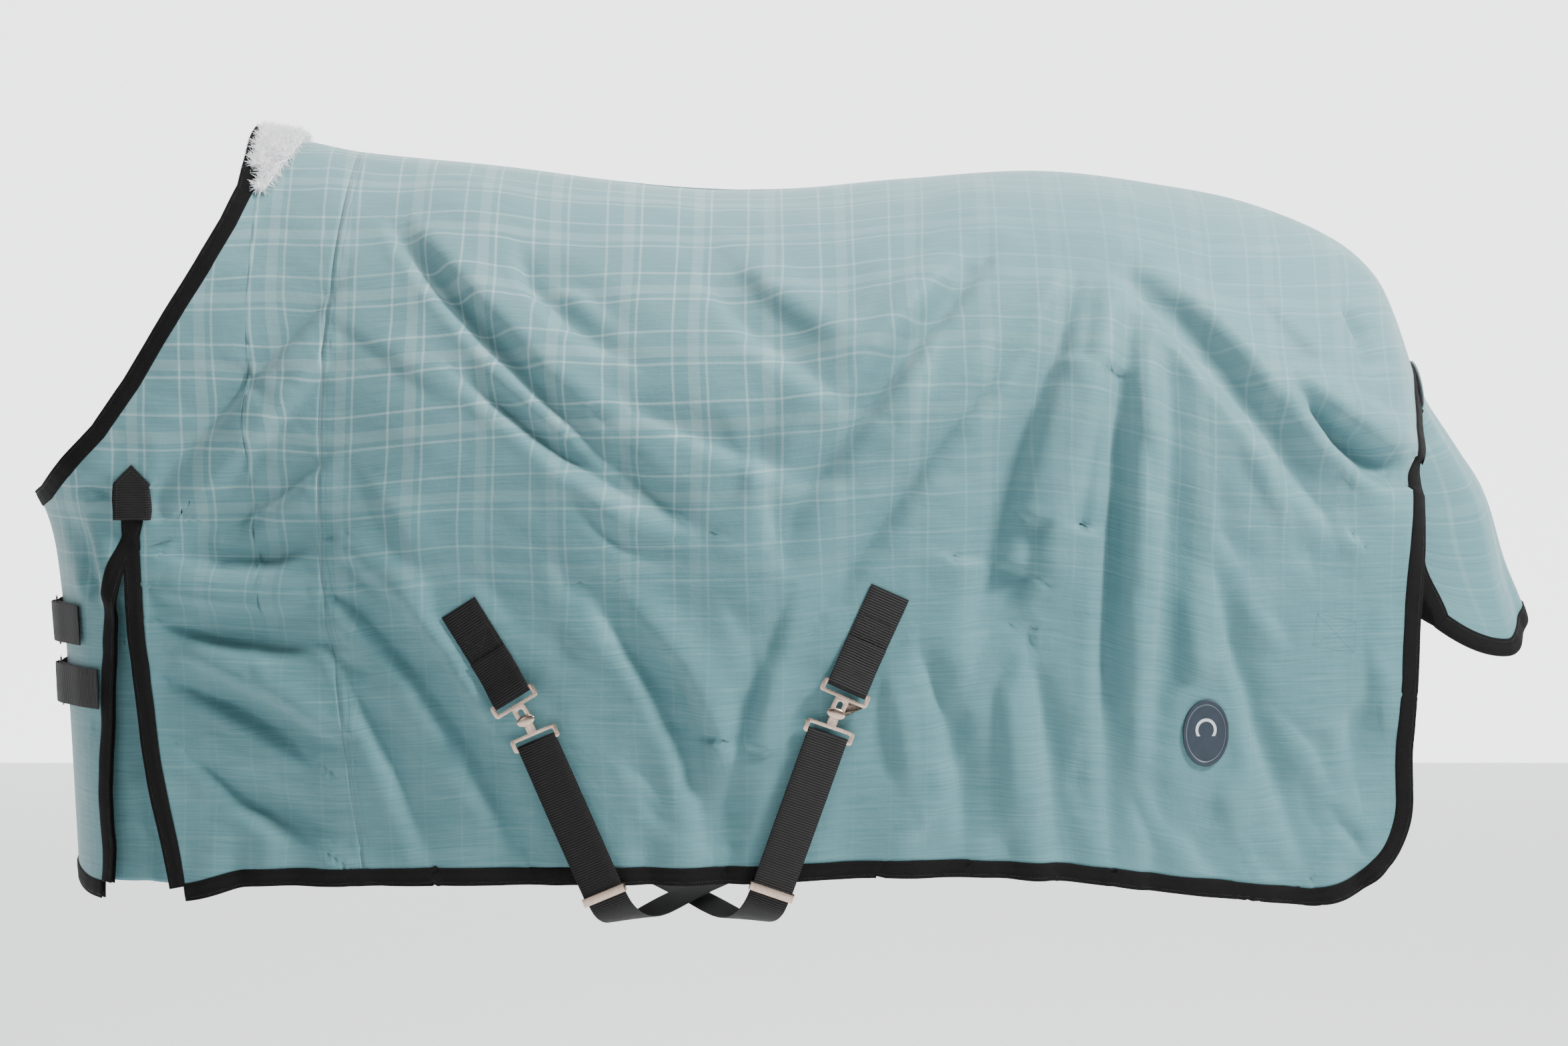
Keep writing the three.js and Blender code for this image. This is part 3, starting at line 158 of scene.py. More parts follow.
# ---- folds -----------------------------------------------------------------------------------
# Each fold: depth (minus is a valley), reach across it, and the points (x, z) it runs through.
FOLDS = [
    (-7, 17, (172, -120), (232, -190), (300, -262), (372, -330), (440, -392), (520, -450)),
    (5, 22, (205, -118), (270, -185), (345, -255), (420, -325)),
    (-6, 18, (330, -150), (345, -185), (392, -230), (450, -268)),
    (-6, 20, (255, -290), (330, -345), (392, -395), (470, -440), (560, -480)),
    (4, 26, (300, -285), (380, -345), (460, -400)),
    (-8, 24, (900, -165), (850, -215), (800, -275), (745, -345), (690, -420), (660, -470)),
    (6, 28, (870, -150), (815, -205), (760, -265), (700, -335)),
    (-5, 22, (960, -240), (900, -310), (830, -395), (770, -480), (720, -560)),
    (-10, 26, (1012, -200), (985, -270), (955, -350), (930, -430), (905, -520), (890, -620)),
    (8, 26, (1050, -190), (1035, -280), (1010, -370), (985, -470), (965, -580)),
    (-7, 18, (1068, -210), (1062, -300), (1056, -400), (1050, -500), (1046, -620), (1050, -760), (1058, -880)),
    (6, 20, (1092, -240), (1092, -340), (1088, -450), (1082, -560), (1080, -700)),
    (-6, 20, (1115, -230), (1124, -330), (1126, -430), (1120, -540), (1112, -650), (1108, -780)),
    (-7, 20, (1060, -175), (1120, -225), (1180, -290), (1238, -360), (1290, -430), (1340, -480)),
    (6, 24, (1090, -165), (1150, -205), (1215, -265), (1275, -335), (1325, -395)),
    (-12, 18, (1290, -330), (1330, -372), (1372, -405), (1408, -425)),
    (10, 20, (1285, -300), (1330, -335), (1380, -370), (1420, -392)),
    (-6, 13, (1344, -215), (1366, -250), (1374, -292)),
    (-6, 24, (-105, -520), (-40, -528), (30, -522), (80, -505)),
    (5, 20, (-115, -560), (-50, -572), (20, -574), (75, -566)),
    (-6, 20, (-110, -605), (-45, -622), (20, -632), (80, -630)),
    (-5, 20, (-100, -680), (-30, -705), (30, -735), (80, -772)),
    (5, 22, (-90, -640), (-20, -665), (45, -690), (95, -720)),
    (-6, 24, (-80, -770), (-20, -815), (30, -850), (80, -880)),
    (-5, 20, (112, -180), (60, -235), (0, -300), (-55, -365), (-110, -420)),
    (5, 22, (100, -260), (50, -320), (-10, -385), (-70, -445)),
    (-5, 22, (95, -400), (40, -440), (-20, -478), (-90, -500)),
    (-6, 24, (110, -560), (170, -620), (230, -690), (285, -770), (330, -860)),
    (5, 26, (120, -500), (190, -560), (255, -630), (315, -710)),
    (-5, 22, (105, -640), (150, -720), (190, -800), (225, -890)),
    (-5, 24, (420, -560), (480, -640), (530, -730), (560, -830), (575, -890)),
    (5, 26, (470, -560), (535, -640), (580, -730), (610, -820)),
    (-5, 24, (660, -560), (630, -650), (600, -740), (590, -850)),
    (-5, 22, (820, -620), (850, -700), (870, -790), (880, -880)),
    (4, 24, (780, -640), (800, -720), (815, -800)),
    (-6, 22, (960, -640), (975, -730), (985, -820), (990, -895)),
    (5, 22, (925, -660), (935, -750), (940, -840)),
    (-5, 20, (1180, -520), (1200, -620), (1230, -720), (1270, -820), (1300, -900)),
    (5, 24, (1150, -560), (1160, -660), (1185, -760), (1215, -860)),
    (-6, 20, (1300, -520), (1330, -600), (1350, -690), (1360, -790)),
    (5, 20, (1340, -520), (1368, -600), (1385, -690)),
    (-4, 26, (560, -180), (620, -240), (690, -290), (750, -330)),
    (4, 26, (600, -160), (670, -210), (740, -250)),
    (-4, 24, (470, -330), (560, -370), (650, -400), (740, -420)),
    (-4, 20, (-215, -430), (-160, -455), (-100, -470)),
    (-4, 18, (-230, -480), (-205, -560), (-200, -640), (-205, -720)),
    (4, 18, (-205, -470), (-180, -540), (-178, -600)),
]
# Small creases between them run the way the cloth is dragged: the direction in degrees over x.
_rng = np.random.default_rng(11)
for _ in range(84):
    _at = np.array([_rng.uniform(-70, 1370), _rng.uniform(-870, -150)])
    _turn = np.interp(_at[0], [-70, 60, 500, 720, 1000, 1150, 1370], [-25, -45, -42, -128, -98, -62, -50])
    _turn = math.radians(_turn + _rng.uniform(-16, 16))
    _go = np.array([math.cos(_turn), math.sin(_turn)]) * _rng.uniform(70, 200)
    _bow = np.array([-_go[1], _go[0]]) * _rng.uniform(-0.14, 0.14)
    FOLDS.append((_rng.choice([-1, 1]) * _rng.uniform(0.9, 2.1), _rng.uniform(15, 25),
                  tuple(_at), tuple(_at + _go / 2 + _bow), tuple(_at + _go)))
# Straps, the badge and the pad press the cloth flat beside them: centre line ends and reach.
PRESSED = [((1331, -575), (1325, -665), 58), ((-290, -612), (-210, -612), 44), ((-290, -690), (-204, -690), 46), ((-40, -10), (40, -30), 60),
           ((261, -575), (346, -711), 42), ((346, -711), (440, -925), 46), ((786, -551), (719, -699), 42),
           ((719, -699), (641, -919), 46), ((1171, -700), (1171, -760), 46), ((-148, -400), (-150, -468), 32)]


def wave(x, z, seed, size):
    """Smooth noise from crossed sines, for the slack between the folds."""
    r = np.random.default_rng(seed)
    total = np.zeros_like(x)
    for k in range(9):
        turn = r.uniform(0, math.pi)
        length = size * r.uniform(0.7, 1.6)
        total += np.sin((x * math.cos(turn) + z * math.sin(turn)) * 2 * math.pi / length + r.uniform(0, 6.28)
                        + 1.4 * np.sin(x / size * 1.7 + z / size * 1.1 + k))
    return total / 4.5


def near_line(x, z, a, b):
    d = np.array(b, float) - a
    t = ((x - a[0]) * d[0] + (z - a[1]) * d[1]) / (d @ d)
    tc = np.clip(t, 0, 1)
    return np.hypot(x - a[0] - tc * d[0], z - a[1] - tc * d[1]), tc


def folds(x, z, mirror):
    """How far the cloth stands off the skin at side-view points."""
    x, z = np.asarray(x, float), np.asarray(z, float)
    if mirror:
        x, z = x + 14 * np.sin(z / 90.0), z + 12 * np.sin(x / 120.0)
    total = 2.6 * wave(x, z, 3 + mirror, 210) + 0.7 * wave(x * 0.8, z, 5 + mirror, 62)
    for depth, reach, *points in FOLDS:
        near = np.full(x.shape, 1e9)
        along = np.zeros(x.shape)
        below = np.zeros(x.shape)
        count = len(points) - 1
        for i in range(count):
            a, b = points[i], points[i + 1]
            d, t = near_line(x, z, a, b)
            run, rise = b[0] - a[0], b[1] - a[1]
            side = (x - a[0]) * rise - (z - a[1]) * run
            side *= 1 if run > 0 or abs(run) < 0.2 * abs(rise) else -1
            closer = d < near
            near = np.where(closer, d, near)
            along = np.where(closer, (i + t) / count, along)
            below = np.where(closer, side, below)
        ends = np.sin(np.pi * np.clip(0.03 + 0.92 * along, 0, 1)) ** 0.8
        r = reach * (0.6 + 0.45 * along)
        steep = np.where(below > 0, 0.72, 1.5)
        total += 2.3 * depth * ends * np.exp(-((near / (r * steep)) ** 2))
        total -= np.where(below > 0, 0.8, 0) * depth * ends * (near / r) * np.exp(-((near / (1.3 * r)) ** 2))
    # puckers beside the sewn seams and the taped hem
    seam = np.abs(x - shoulder_seam(z))
    total += 1.2 * np.exp(-((seam / 16) ** 2)) * np.sin(z / 5.5 + 2 * np.sin(z / 31)) * step(8, 14, seam)
    up = z - hem_line(x)
    total += 2.2 * np.exp(-((up / 55) ** 2)) * np.sin(x / 17 + 2.2 * np.sin(x / 73))
    for a, b, reach in PRESSED:
        d, _ = near_line(x, z, a, b)
        total *= 0.03 + 0.97 * step(reach * 0.6, reach * 1.3, d)
    edge = step(0, 26, topline(x) - z)
    chest = step(0, 55, x - chest_line(z))
    return 23 * np.tanh(total * 1.5 / 23) * edge * chest


# ---- points of the folded cloth ---------------------------------------------------------------
# q runs along the rug from the chest seam: round the chest first, then straight back along x.
QUARTER = CHEST_RADIUS * math.pi / 2


def x_at(q, z):
    turn = np.clip(q / QUARTER, 0, 1) * math.pi / 2
    return chest_line(z) + CHEST_RADIUS * (1 - np.cos(turn)) + np.maximum(q - QUARTER, 0)


def q_at(x, z):
    back = np.asarray(x, float) - chest_line(z)
    return np.arccos(1 - np.clip(back / CHEST_RADIUS, 0, 1)) * CHEST_RADIUS + np.maximum(back - CHEST_RADIUS, 0)


def raised(q, z, mirror):
    x = x_at(q, z)
    p, n = skin(x, np.minimum(z, topline(x)))
    return p + n * folds(x, z, mirror)[..., None]


def on_cloth(q, z, mirror=False):
    """Points of the folded cloth with their normals and the two directions along it."""
    p = raised(q, z, mirror)
    along = raised(q + 1.0, z, mirror) - p
    up = p - raised(q, z - 1.0, mirror)
    n = unit(np.cross(up, along))
    _, plain = skin(x_at(q, z), z)
    n = np.where((n * plain).sum(-1, keepdims=True) < 0, -n, n)
    return p, n, along, up


FLIP = np.array([1.0, -1.0, 1.0])


def side_of(array, side):
    return array if side == "left" else array * FLIP


class Cloth:
    """A grid of points on the folded cloth (columns by rows), with normals and weave coordinates."""

    def __init__(self, p, n, u, v):
        self.p, self.n, self.u, self.v = p, n, u, v


def smooth_normals(p, like):
    n = unit(np.cross(np.gradient(p, axis=1), np.gradient(p, axis=0)))
    return np.where((n * like).sum(-1, keepdims=True) < 0, -n, n)


def cloth(x, z, side):
    mirror = side == "right"
    p, plain = skin(x, z)
    lift = folds(x, z, mirror)
    p = p + plain * lift[..., None]
    # normals from the surface itself where it hangs, and from the grid over the spine
    drop = step(6, 22, topline(x) - z)[..., None]
    n = unit(smooth_normals(p, plain) * (1 - drop) + on_cloth(q_at(x, z), z, mirror)[1] * drop)
    n = np.where(np.abs(p[..., 1:2]) < SEAM + 0.3, unit(n * [1, 0, 1] + [0, 0, 1e-6]), n)
    turn = np.clip((x - chest_line(z)) / CHEST_RADIUS, 0, 1)
    u = x - CHEST_RADIUS * (math.pi / 2 - 1 - np.arccos(1 - turn) + turn) + 3 * wave(x, z, 21, 260)
    v = down_the_cloth(x, z) + 3 * wave(x, z, 22, 260)
    return Cloth(side_of(p, side), side_of(n, side), u, v)


def spread(path, rows):
    """Re-spaces columns evenly down the cloth; path takes shares from 0 to 1 for every column."""
    f = np.linspace(0, 1, 260) ** 2
    x, z = path(f[None, :])
    p, _ = skin(x, z)
    run = np.cumsum(np.linalg.norm(np.diff(p, axis=1), axis=-1), axis=1)
    run = np.concatenate([np.zeros((len(x), 1)), run], 1)
    return path(np.stack([np.interp(np.linspace(0, r[-1], rows), r, f) for r in run]))


# ---- meshes ----------------------------------------------------------------------------------
def new_mesh(name, points, faces, body, uvs=None, smooth=True):
    mesh = bpy.data.meshes.new(name)
    mesh.from_pydata((np.asarray(points) * MM).tolist(), [], faces)
    if uvs is not None:
        layer = mesh.uv_layers.new(name="UVMap")
        loops = np.zeros(len(mesh.loops), int)
        mesh.loops.foreach_get("vertex_index", loops)
        layer.data.foreach_set("uv", (np.asarray(uvs)[loops] * MM).ravel().astype(np.float32))
    mesh.polygons.foreach_set("use_smooth", [smooth] * len(mesh.polygons))
    mesh.update()
    obj = bpy.data.objects.new(name, mesh)
    bpy.context.scene.collection.objects.link(obj)
    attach(obj, body)
    return obj


def face_out(obj):
    b = bmesh.new()
    b.from_mesh(obj.data)
    bmesh.ops.recalc_face_normals(b, faces=b.faces)
    b.to_mesh(obj.data)
    b.free()
    return obj


def solid(name, cloth, inner, outer, body, keep=None):
    """A closed sheet between two heights above the folded cloth."""
    c, r = cloth.p.shape[:2]
    ids = np.arange(c * r).reshape(c, r)
    quads = np.stack([ids[:-1, :-1], ids[1:, :-1], ids[1:, 1:], ids[:-1, 1:]], -1).reshape(-1, 4)
    if keep is not None:
        quads = quads[keep.ravel()]
    used = np.unique(quads)
    index = np.full(c * r, -1)
    index[used] = np.arange(len(used))
    quads = index[quads]
    n = len(used)
    p, nor = cloth.p.reshape(-1, 3)[used], cloth.n.reshape(-1, 3)[used]
    uv = np.stack([cloth.u, cloth.v], -1).reshape(-1, 2)[used]
    points = np.concatenate([p + nor * outer, p + nor * inner])
    edges = np.concatenate([quads[:, [k, (k + 1) % 4]] for k in range(4)])
    key = np.sort(edges, 1)
    _, first, count = np.unique(key, axis=0, return_index=True, return_counts=True)
    rim = edges[first[count == 1]]
    walls = np.stack([rim[:, 1], rim[:, 0], rim[:, 0] + n, rim[:, 1] + n], -1)
    faces = np.concatenate([quads, quads[:, ::-1] + n, walls])
    obj = new_mesh(name, points, faces.tolist(), body, np.concatenate([uv, uv]))
    return face_out(obj)


def sweep(name, rings, body, uvs=None, closed_ends=True, loop=False):
    """A closed tube through rings of equal size (stations by points)."""
    s, k = rings.shape[:2]
    ids = np.arange(s * k).reshape(s, k)
    a = ids if loop else ids[:-1]
    b = np.roll(ids, -1, 0) if loop else ids[1:]
    quads = np.stack([a, np.roll(a, -1, 1), np.roll(b, -1, 1), b], -1).reshape(-1, 4).tolist()
    if closed_ends and not loop:
        quads += [ids[0][::-1].tolist(), ids[-1].tolist()]
    obj = new_mesh(name, rings.reshape(-1, 3), quads, body, uvs)
    return face_out(obj)


def resample(points, spacing, *others):
    """Points (and values that go with them) evenly spaced along their path."""
    run = np.concatenate([[0], np.cumsum(np.linalg.norm(np.diff(points, axis=0), axis=-1))])
    at = np.linspace(0, run[-1], max(3, int(run[-1] / spacing) + 1))
    pick = lambda v: np.stack([np.interp(at, run, v[:, i]) for i in range(v.shape[1])], -1)
    return [pick(points), *[pick(o) for o in others], at]


# ---- the panels' outlines --------------------------------------------------------------------
ROWS = 176
neck_run = np.concatenate([[0], np.cumsum(np.hypot(*np.diff(NECK, axis=0).T))])


def neck_z(x):
    return np.interp(x, NECK[:, 0], NECK[:, 1])


def chest_edge_q(z):
    return np.arcsin(np.clip(4 / width_at(chest_line(z) + 65, z), 0, 1)) * CHEST_RADIUS


def settle(q_of, edge, z):
    """The height where columns q_of(z) meet an edge given as a height over x."""
    for _ in range(40):
        z = 0.5 * z + 0.5 * edge(x_at(q_of(z), z))
    return z


def shoulder_grid():
    """Chest edge to shoulder seam; the cells between the slit's edges are left out below its tip."""
    share = np.linspace(0, 1, 36)[:, None]
    q_of = lambda z: chest_edge_q(z) * (1 - share) + q_at(slit_front(z), z) * share
    top = settle(q_of, neck_z, np.full((36, 1), -400.0))
    low = settle(q_of, hem_line, np.full((36, 1), -930.0))
    z = top + (low - top) * np.linspace(0, 1, ROWS)[None, :]
    front = x_at(q_of(z), z), z
    start = np.interp(-146, NECK[:, 0], neck_run)
    runs = np.linspace(start, neck_run[-1], 44)
    tx, tz = np.interp(runs, neck_run, NECK[:, 0]), np.interp(runs, neck_run, NECK[:, 1])
    ridge = np.linspace(2, 119 - BUTT, 22)[1:]
    tx, tz = np.concatenate([tx, ridge])[:, None], np.concatenate([tz, topline(ridge)])[:, None]
    # the columns under the steep part of the neck edge get more of the width
    gaps = np.where((tz[1:, 0] > -95) & (tx[1:, 0] < 8), 2.6, 1.0)
    t = np.concatenate([[0], np.cumsum(gaps) / gaps.sum()])[:, None]
    bx = slit_rear(-935) + (shoulder_seam(-905) - BUTT - slit_rear(-935)) * t
    bz = hem_line(bx)
    bend = lambda z: slit_rear(z) * (1 - t) + shoulder_seam(z) * t

    def path(f):
        z = tz + (bz - tz) * f
        return bend(z) + (tx - bend(tz)) * (1 - f) + (bx - bend(bz)) * f, z

    back = spread(path, ROWS)
    bridge = np.linspace(0, 1, 4)[1:-1, None]
    between = [a[-1] + (b[0] - a[-1]) * bridge for a, b in zip(front, back)]
    x, z = (np.concatenate([a, m, b]) for a, m, b in zip(front, between, back))
    keep = np.ones((len(x) - 1, ROWS - 1), bool)
    keep[35:38] = z[35, 1:] > TIP_Z
    return x, z, keep


def body_grid():
    foot = float(rear_edge(-820.0))
    centre = (foot - 110, -818.0)
    share = np.concatenate([np.linspace(0, 0.9, 190), np.linspace(0.9, 1, 41)[1:]])[:, None]
    hem = np.linspace(float(shoulder_seam(-905)) + BUTT, centre[0], 190)
    turn = np.linspace(0, math.pi / 2, 41)[1:]
    bx = np.concatenate([hem, centre[0] + 110 * np.sin(turn)])[:, None]
    low = hem_line(hem) + (centre[1] - 110 - hem_line(centre[0])) * step(centre[0] - 120, centre[0], hem)
    bz = np.concatenate([low, centre[1] - 110 * np.cos(turn)])[:, None]
    tx = 119 + BUTT + (1446 - 119 - BUTT) * share
    tz = topline(tx)
    bend = lambda z: shoulder_seam(z) * (1 - share) + rear_edge(z) * share

    def path(f):
        z = tz + (bz - tz) * f
        return bend(z) + (tx - bend(tz)) * (1 - f) + (bx - bend(bz)) * f, z

    return spread(path, ROWS), (bx[:, 0], bz[:, 0])


shoulder_x, shoulder_z, shoulder_keep = shoulder_grid()
(body_x, body_z), body_foot = body_grid()
SIDES = ("left", "right")

# ---- materials -------------------------------------------------------------------------------
def srgb(text):
    """A colour written as #RRGGBB, as the shader wants it."""
    parts = [int(text[i:i + 2], 16) / 255 for i in (1, 3, 5)]
    return tuple(c / 12.92 if c <= 0.04045 else ((c + 0.055) / 1.055) ** 2.4 for c in parts) + (1,)


class Look:
    """One material and a short way to add nodes to it."""

    def __init__(self, name):
        self.mat = bpy.data.materials.new(name)
        self.mat.use_nodes = True
        self.tree = self.mat.node_tree
        self.shader = self.tree.nodes["Principled BSDF"]

    def node(self, kind, *inputs, out=0, **settings):
        """Adds a node; inputs are values or other nodes' outputs, in socket order (None skips one)."""
        made = self.tree.nodes.new(kind)
        for key, value in settings.items():
            setattr(made, key, value)
        for socket, value in zip(made.inputs, inputs):
            if isinstance(value, bpy.types.NodeSocket):
                self.tree.links.new(value, socket)
            elif value is not None:
                socket.default_value = value
        return made.outputs[out]

    def math(self, operation, *inputs):
        return self.node("ShaderNodeMath", *inputs, operation=operation)

    def mix(self, share, a, b):
        made = self.tree.nodes.new("ShaderNodeMix")
        made.data_type = "RGBA"
        for socket, value in ((made.inputs[0], share), (made.inputs[6], a), (made.inputs[7], b)):
            if isinstance(value, bpy.types.NodeSocket):
                self.tree.links.new(value, socket)
            else:
                socket.default_value = value
        return made.outputs[2]

    def into(self, name, value):
        if isinstance(value, bpy.types.NodeSocket):
            self.tree.links.new(value, self.shader.inputs[name])
        else:
            self.shader.inputs[name].default_value = value

    def noise(self, vector, scale, detail=3.0, rough=0.5):
        made = self.tree.nodes.new("ShaderNodeTexNoise")
        self.tree.links.new(vector, made.inputs["Vector"])
        made.inputs["Scale"].default_value = scale
        made.inputs["Detail"].default_value = detail
        made.inputs["Roughness"].default_value = rough
        return made.outputs["Fac"]

    def coords(self, stretch=(1, 1, 1), uv=True):
        source = self.node("ShaderNodeTexCoord", out=2 if uv else 3)
        return self.node("ShaderNodeMapping", source, None, None, stretch)

    def bump(self, height, distance, strength=1.0, under=None):
        made = self.tree.nodes.new("ShaderNodeBump")
        made.inputs["Strength"].default_value = strength
        made.inputs["Distance"].default_value = distance
        self.tree.links.new(height, made.inputs["Height"])
        if under is not None:
            self.tree.links.new(under, made.inputs["Normal"])
        return made.outputs["Normal"]


def tartan_ripstop():
    """Coated polyester, woven with a pale self-coloured tartan: satin stripes on a matt slubby ground. The stripes
    carry painted sheen and the upper ground carries painted top light.
    """
    look = Look("polyester_ripstop_woven_tartan")
    uv = look.node("ShaderNodeTexCoord", out=2)
    parts = look.tree.nodes.new("ShaderNodeSeparateXYZ")
    look.tree.links.new(uv, parts.inputs[0])
    u, v = parts.outputs[0], parts.outputs[1]
    sett = 0.0875

    def stripe(coordinate, centre, width):
        """1 on the stripe, 0 off it, with a thread's softness at its edges."""
        shifted = look.math("ADD", coordinate, sett * 40 - centre)
        away = look.math("PINGPONG", shifted, sett / 2)
        return look.node("ShaderNodeMapRange", away, width / 2 + 0.0006, width / 2 - 0.0006, 0.0, 1.0)

    def stripes(coordinate):
        thin = look.math("MAXIMUM", stripe(coordinate, 0.0, 0.0030), stripe(coordinate, 0.0416, 0.0030))
        wide = look.math("MULTIPLY", stripe(coordinate, 0.0262, 0.014), 0.5)
        return look.math("MAXIMUM", thin, wide)

    down, over = stripes(u), stripes(v)
    satin = look.math("ADD", look.math("MULTIPLY", down, 0.62), look.math("MULTIPLY", over, 0.62))
    # diagonal twill inside the stripes
    twill = look.math("SINE", look.math("MULTIPLY", look.math("ADD", u, v), 2 * math.pi / 0.0030))
    twill = look.math("ADD", look.math("MULTIPLY", twill, 0.30), 0.72)
    # painted sheen: the stripes are painted brightest over the back, where light glances off the satin, and they weaken
    # down the sides, towards the rear and in random patches
    painted_sheen_down_sides = look.node("ShaderNodeMapRange", v, 0.42, 0.72, 0.85, 0.10)
    painted_sheen_patches = look.math("ADD", look.math("MULTIPLY", look.noise(look.coords((1, 1, 1)), 7.0, 2.0), 1.0), 0.35)
    painted_sheen_to_rear = look.node("ShaderNodeMapRange", u, 0.55, 0.95, 1.0, 0.35)
    painted_sheen_patches = look.math("MULTIPLY", painted_sheen_patches, painted_sheen_to_rear)
    # the woven stripes times their painted sheen, so this mask is partly real pattern and partly painted highlight
    line = look.math("MULTIPLY", look.math("MULTIPLY", satin, twill), look.math("MULTIPLY", painted_sheen_down_sides, painted_sheen_patches))
    line.node.use_clamp = True
    slub = look.noise(look.coords((14, 420, 1)), 1.0, 4.0, 0.65)
    slub_up = look.noise(look.coords((420, 16, 1)), 1.0, 3.0, 0.6)
    cloud = look.noise(look.coords((1, 1, 1)), 5.0, 4.0)
    ground = look.mix(look.node("ShaderNodeMapRange", slub, 0.3, 0.72, 0.0, 1.0), srgb("#457A80"), srgb("#6A979C"))
    ground = look.mix(look.node("ShaderNodeMapRange", slub_up, 0.35, 0.75, 0.0, 0.35), ground, srgb("#5C8D95"))
    ground = look.mix(look.node("ShaderNodeMapRange", cloud, 0.35, 0.7, 0.0, 0.45), ground, srgb("#5F8E95"))
    # painted light: the ground is painted paler over the top of the back, where the overhead light falls, and this
    # lessens halfway down the sides
    upper = look.node("ShaderNodeMapRange", v, 0.10, 0.62, 0.42, 0.0)
    ground = look.mix(upper, ground, srgb("#88AEB3"))
    # pale stripe colour: real woven tartan, laid on as a painted highlight where the sheen mask is strong
    look.into("Base Color", look.mix(line, ground, srgb("#BFD6D8")))
    look.into("Roughness", look.node("ShaderNodeMapRange", line, 0.0, 1.0, 0.62, 0.42))
    look.into("Sheen Weight", 0.25)
    look.into("Sheen Roughness", 0.5)
    look.into("Specular IOR Level", 0.35)
    threads = look.math("ADD", look.math("MULTIPLY", slub, 0.6), look.math("MULTIPLY", line, 0.5))
    crumple = look.noise(look.coords((1, 1, 1)), 34.0, 5.0, 0.6)
    look.into("Normal", look.bump(threads, 0.0006, 0.5, look.bump(crumple, 0.0035, 0.45)))
    return look.mat


def plain_cloth(name, dark, light, rough, uv=True, fine=700.0):
    look = Look(name)
    where = look.coords((1, 1, 1), uv)
    weave = look.noise(where, fine, 2.0)
    look.into("Base Color", look.mix(weave, srgb(dark), srgb(light)))
    look.into("Roughness", rough)
    look.into("Sheen Weight", 0.2)
    crease = look.noise(where, 28.0, 4.0)
    look.into("Normal", look.bump(weave, 0.0004, 0.5, look.bump(crease, 0.004, 0.5)))
    return look.mat


def twill_tape():
    """Polypropylene twill binding: near-black with a fine diagonal rib."""
    look = Look("polypropylene_twill_binding")
    parts = look.tree.nodes.new("ShaderNodeSeparateXYZ")
    look.tree.links.new(look.node("ShaderNodeTexCoord", out=2), parts.inputs[0])
    u, v = parts.outputs[0], parts.outputs[1]
    rib = look.math("SINE", look.math("MULTIPLY", look.math("ADD", u, look.math("MULTIPLY", look.math(
        "PINGPONG", v, 0.0052), 1.5)), 2 * math.pi / 0.0026))
    rib = look.math("ADD", look.math("MULTIPLY", rib, 0.5), 0.5)
    fuzz = look.noise(look.coords(), 900.0, 2.0)
    look.into("Base Color", look.mix(look.math("MULTIPLY", rib, look.math("ADD", fuzz, 0.25)), srgb("#050505"),
                                     srgb("#1E1C1D")))
    look.into("Roughness", 0.85)
    look.into("Specular IOR Level", 0.2)
    look.into("Normal", look.bump(rib, 0.0006, 0.8))
    return look.mat


def ribbed_webbing():
    """Woven nylon webbing with cross ribs; v runs along it."""
    look = Look("nylon_ribbed_webbing")
    parts = look.tree.nodes.new("ShaderNodeSeparateXYZ")
    look.tree.links.new(look.node("ShaderNodeTexCoord", out=2), parts.inputs[0])
    u, v = parts.outputs[0], parts.outputs[1]
    wobble = look.math("MULTIPLY", look.noise(look.coords((60, 60, 1)), 1.0, 2.0), 0.0012)
    rib = look.math("SINE", look.math("MULTIPLY", look.math("ADD", u, wobble), 2 * math.pi / 0.0031))
    rib = look.math("ADD", look.math("MULTIPLY", rib, 0.5), 0.5)
    yarn = look.noise(look.coords((160, 1100, 1)), 1.0, 3.0, 0.6)
    look.into("Base Color", look.mix(look.math("MULTIPLY", look.math("POWER", rib, 1.5), yarn), srgb("#040404"),
                                     srgb("#2A2627")))
    look.into("Roughness", 0.6)
    look.into("Specular IOR Level", 0.3)
    look.into("Normal", look.bump(look.math("ADD", rib, look.math("MULTIPLY", yarn, 0.4)), 0.0009, 0.9))
    return look.mat


def plated_steel():
    """Die-cast steel with a warm nickel plating, brushed by use."""
    look = Look("steel_cast_nickel_plated")
    where = look.coords((1, 1, 1), False)
    wear = look.noise(where, 260.0, 4.0)
    look.into("Base Color", look.mix(wear, srgb("#D8C4B6"), srgb("#C4A793")))
    look.into("Metallic", 1.0)
    look.into("Roughness", look.node("ShaderNodeMapRange", wear, 0.3, 0.7, 0.2, 0.36))
    look.into("Normal", look.bump(look.noise(where, 1400.0, 2.0), 0.0002, 0.25))
    return look.mat


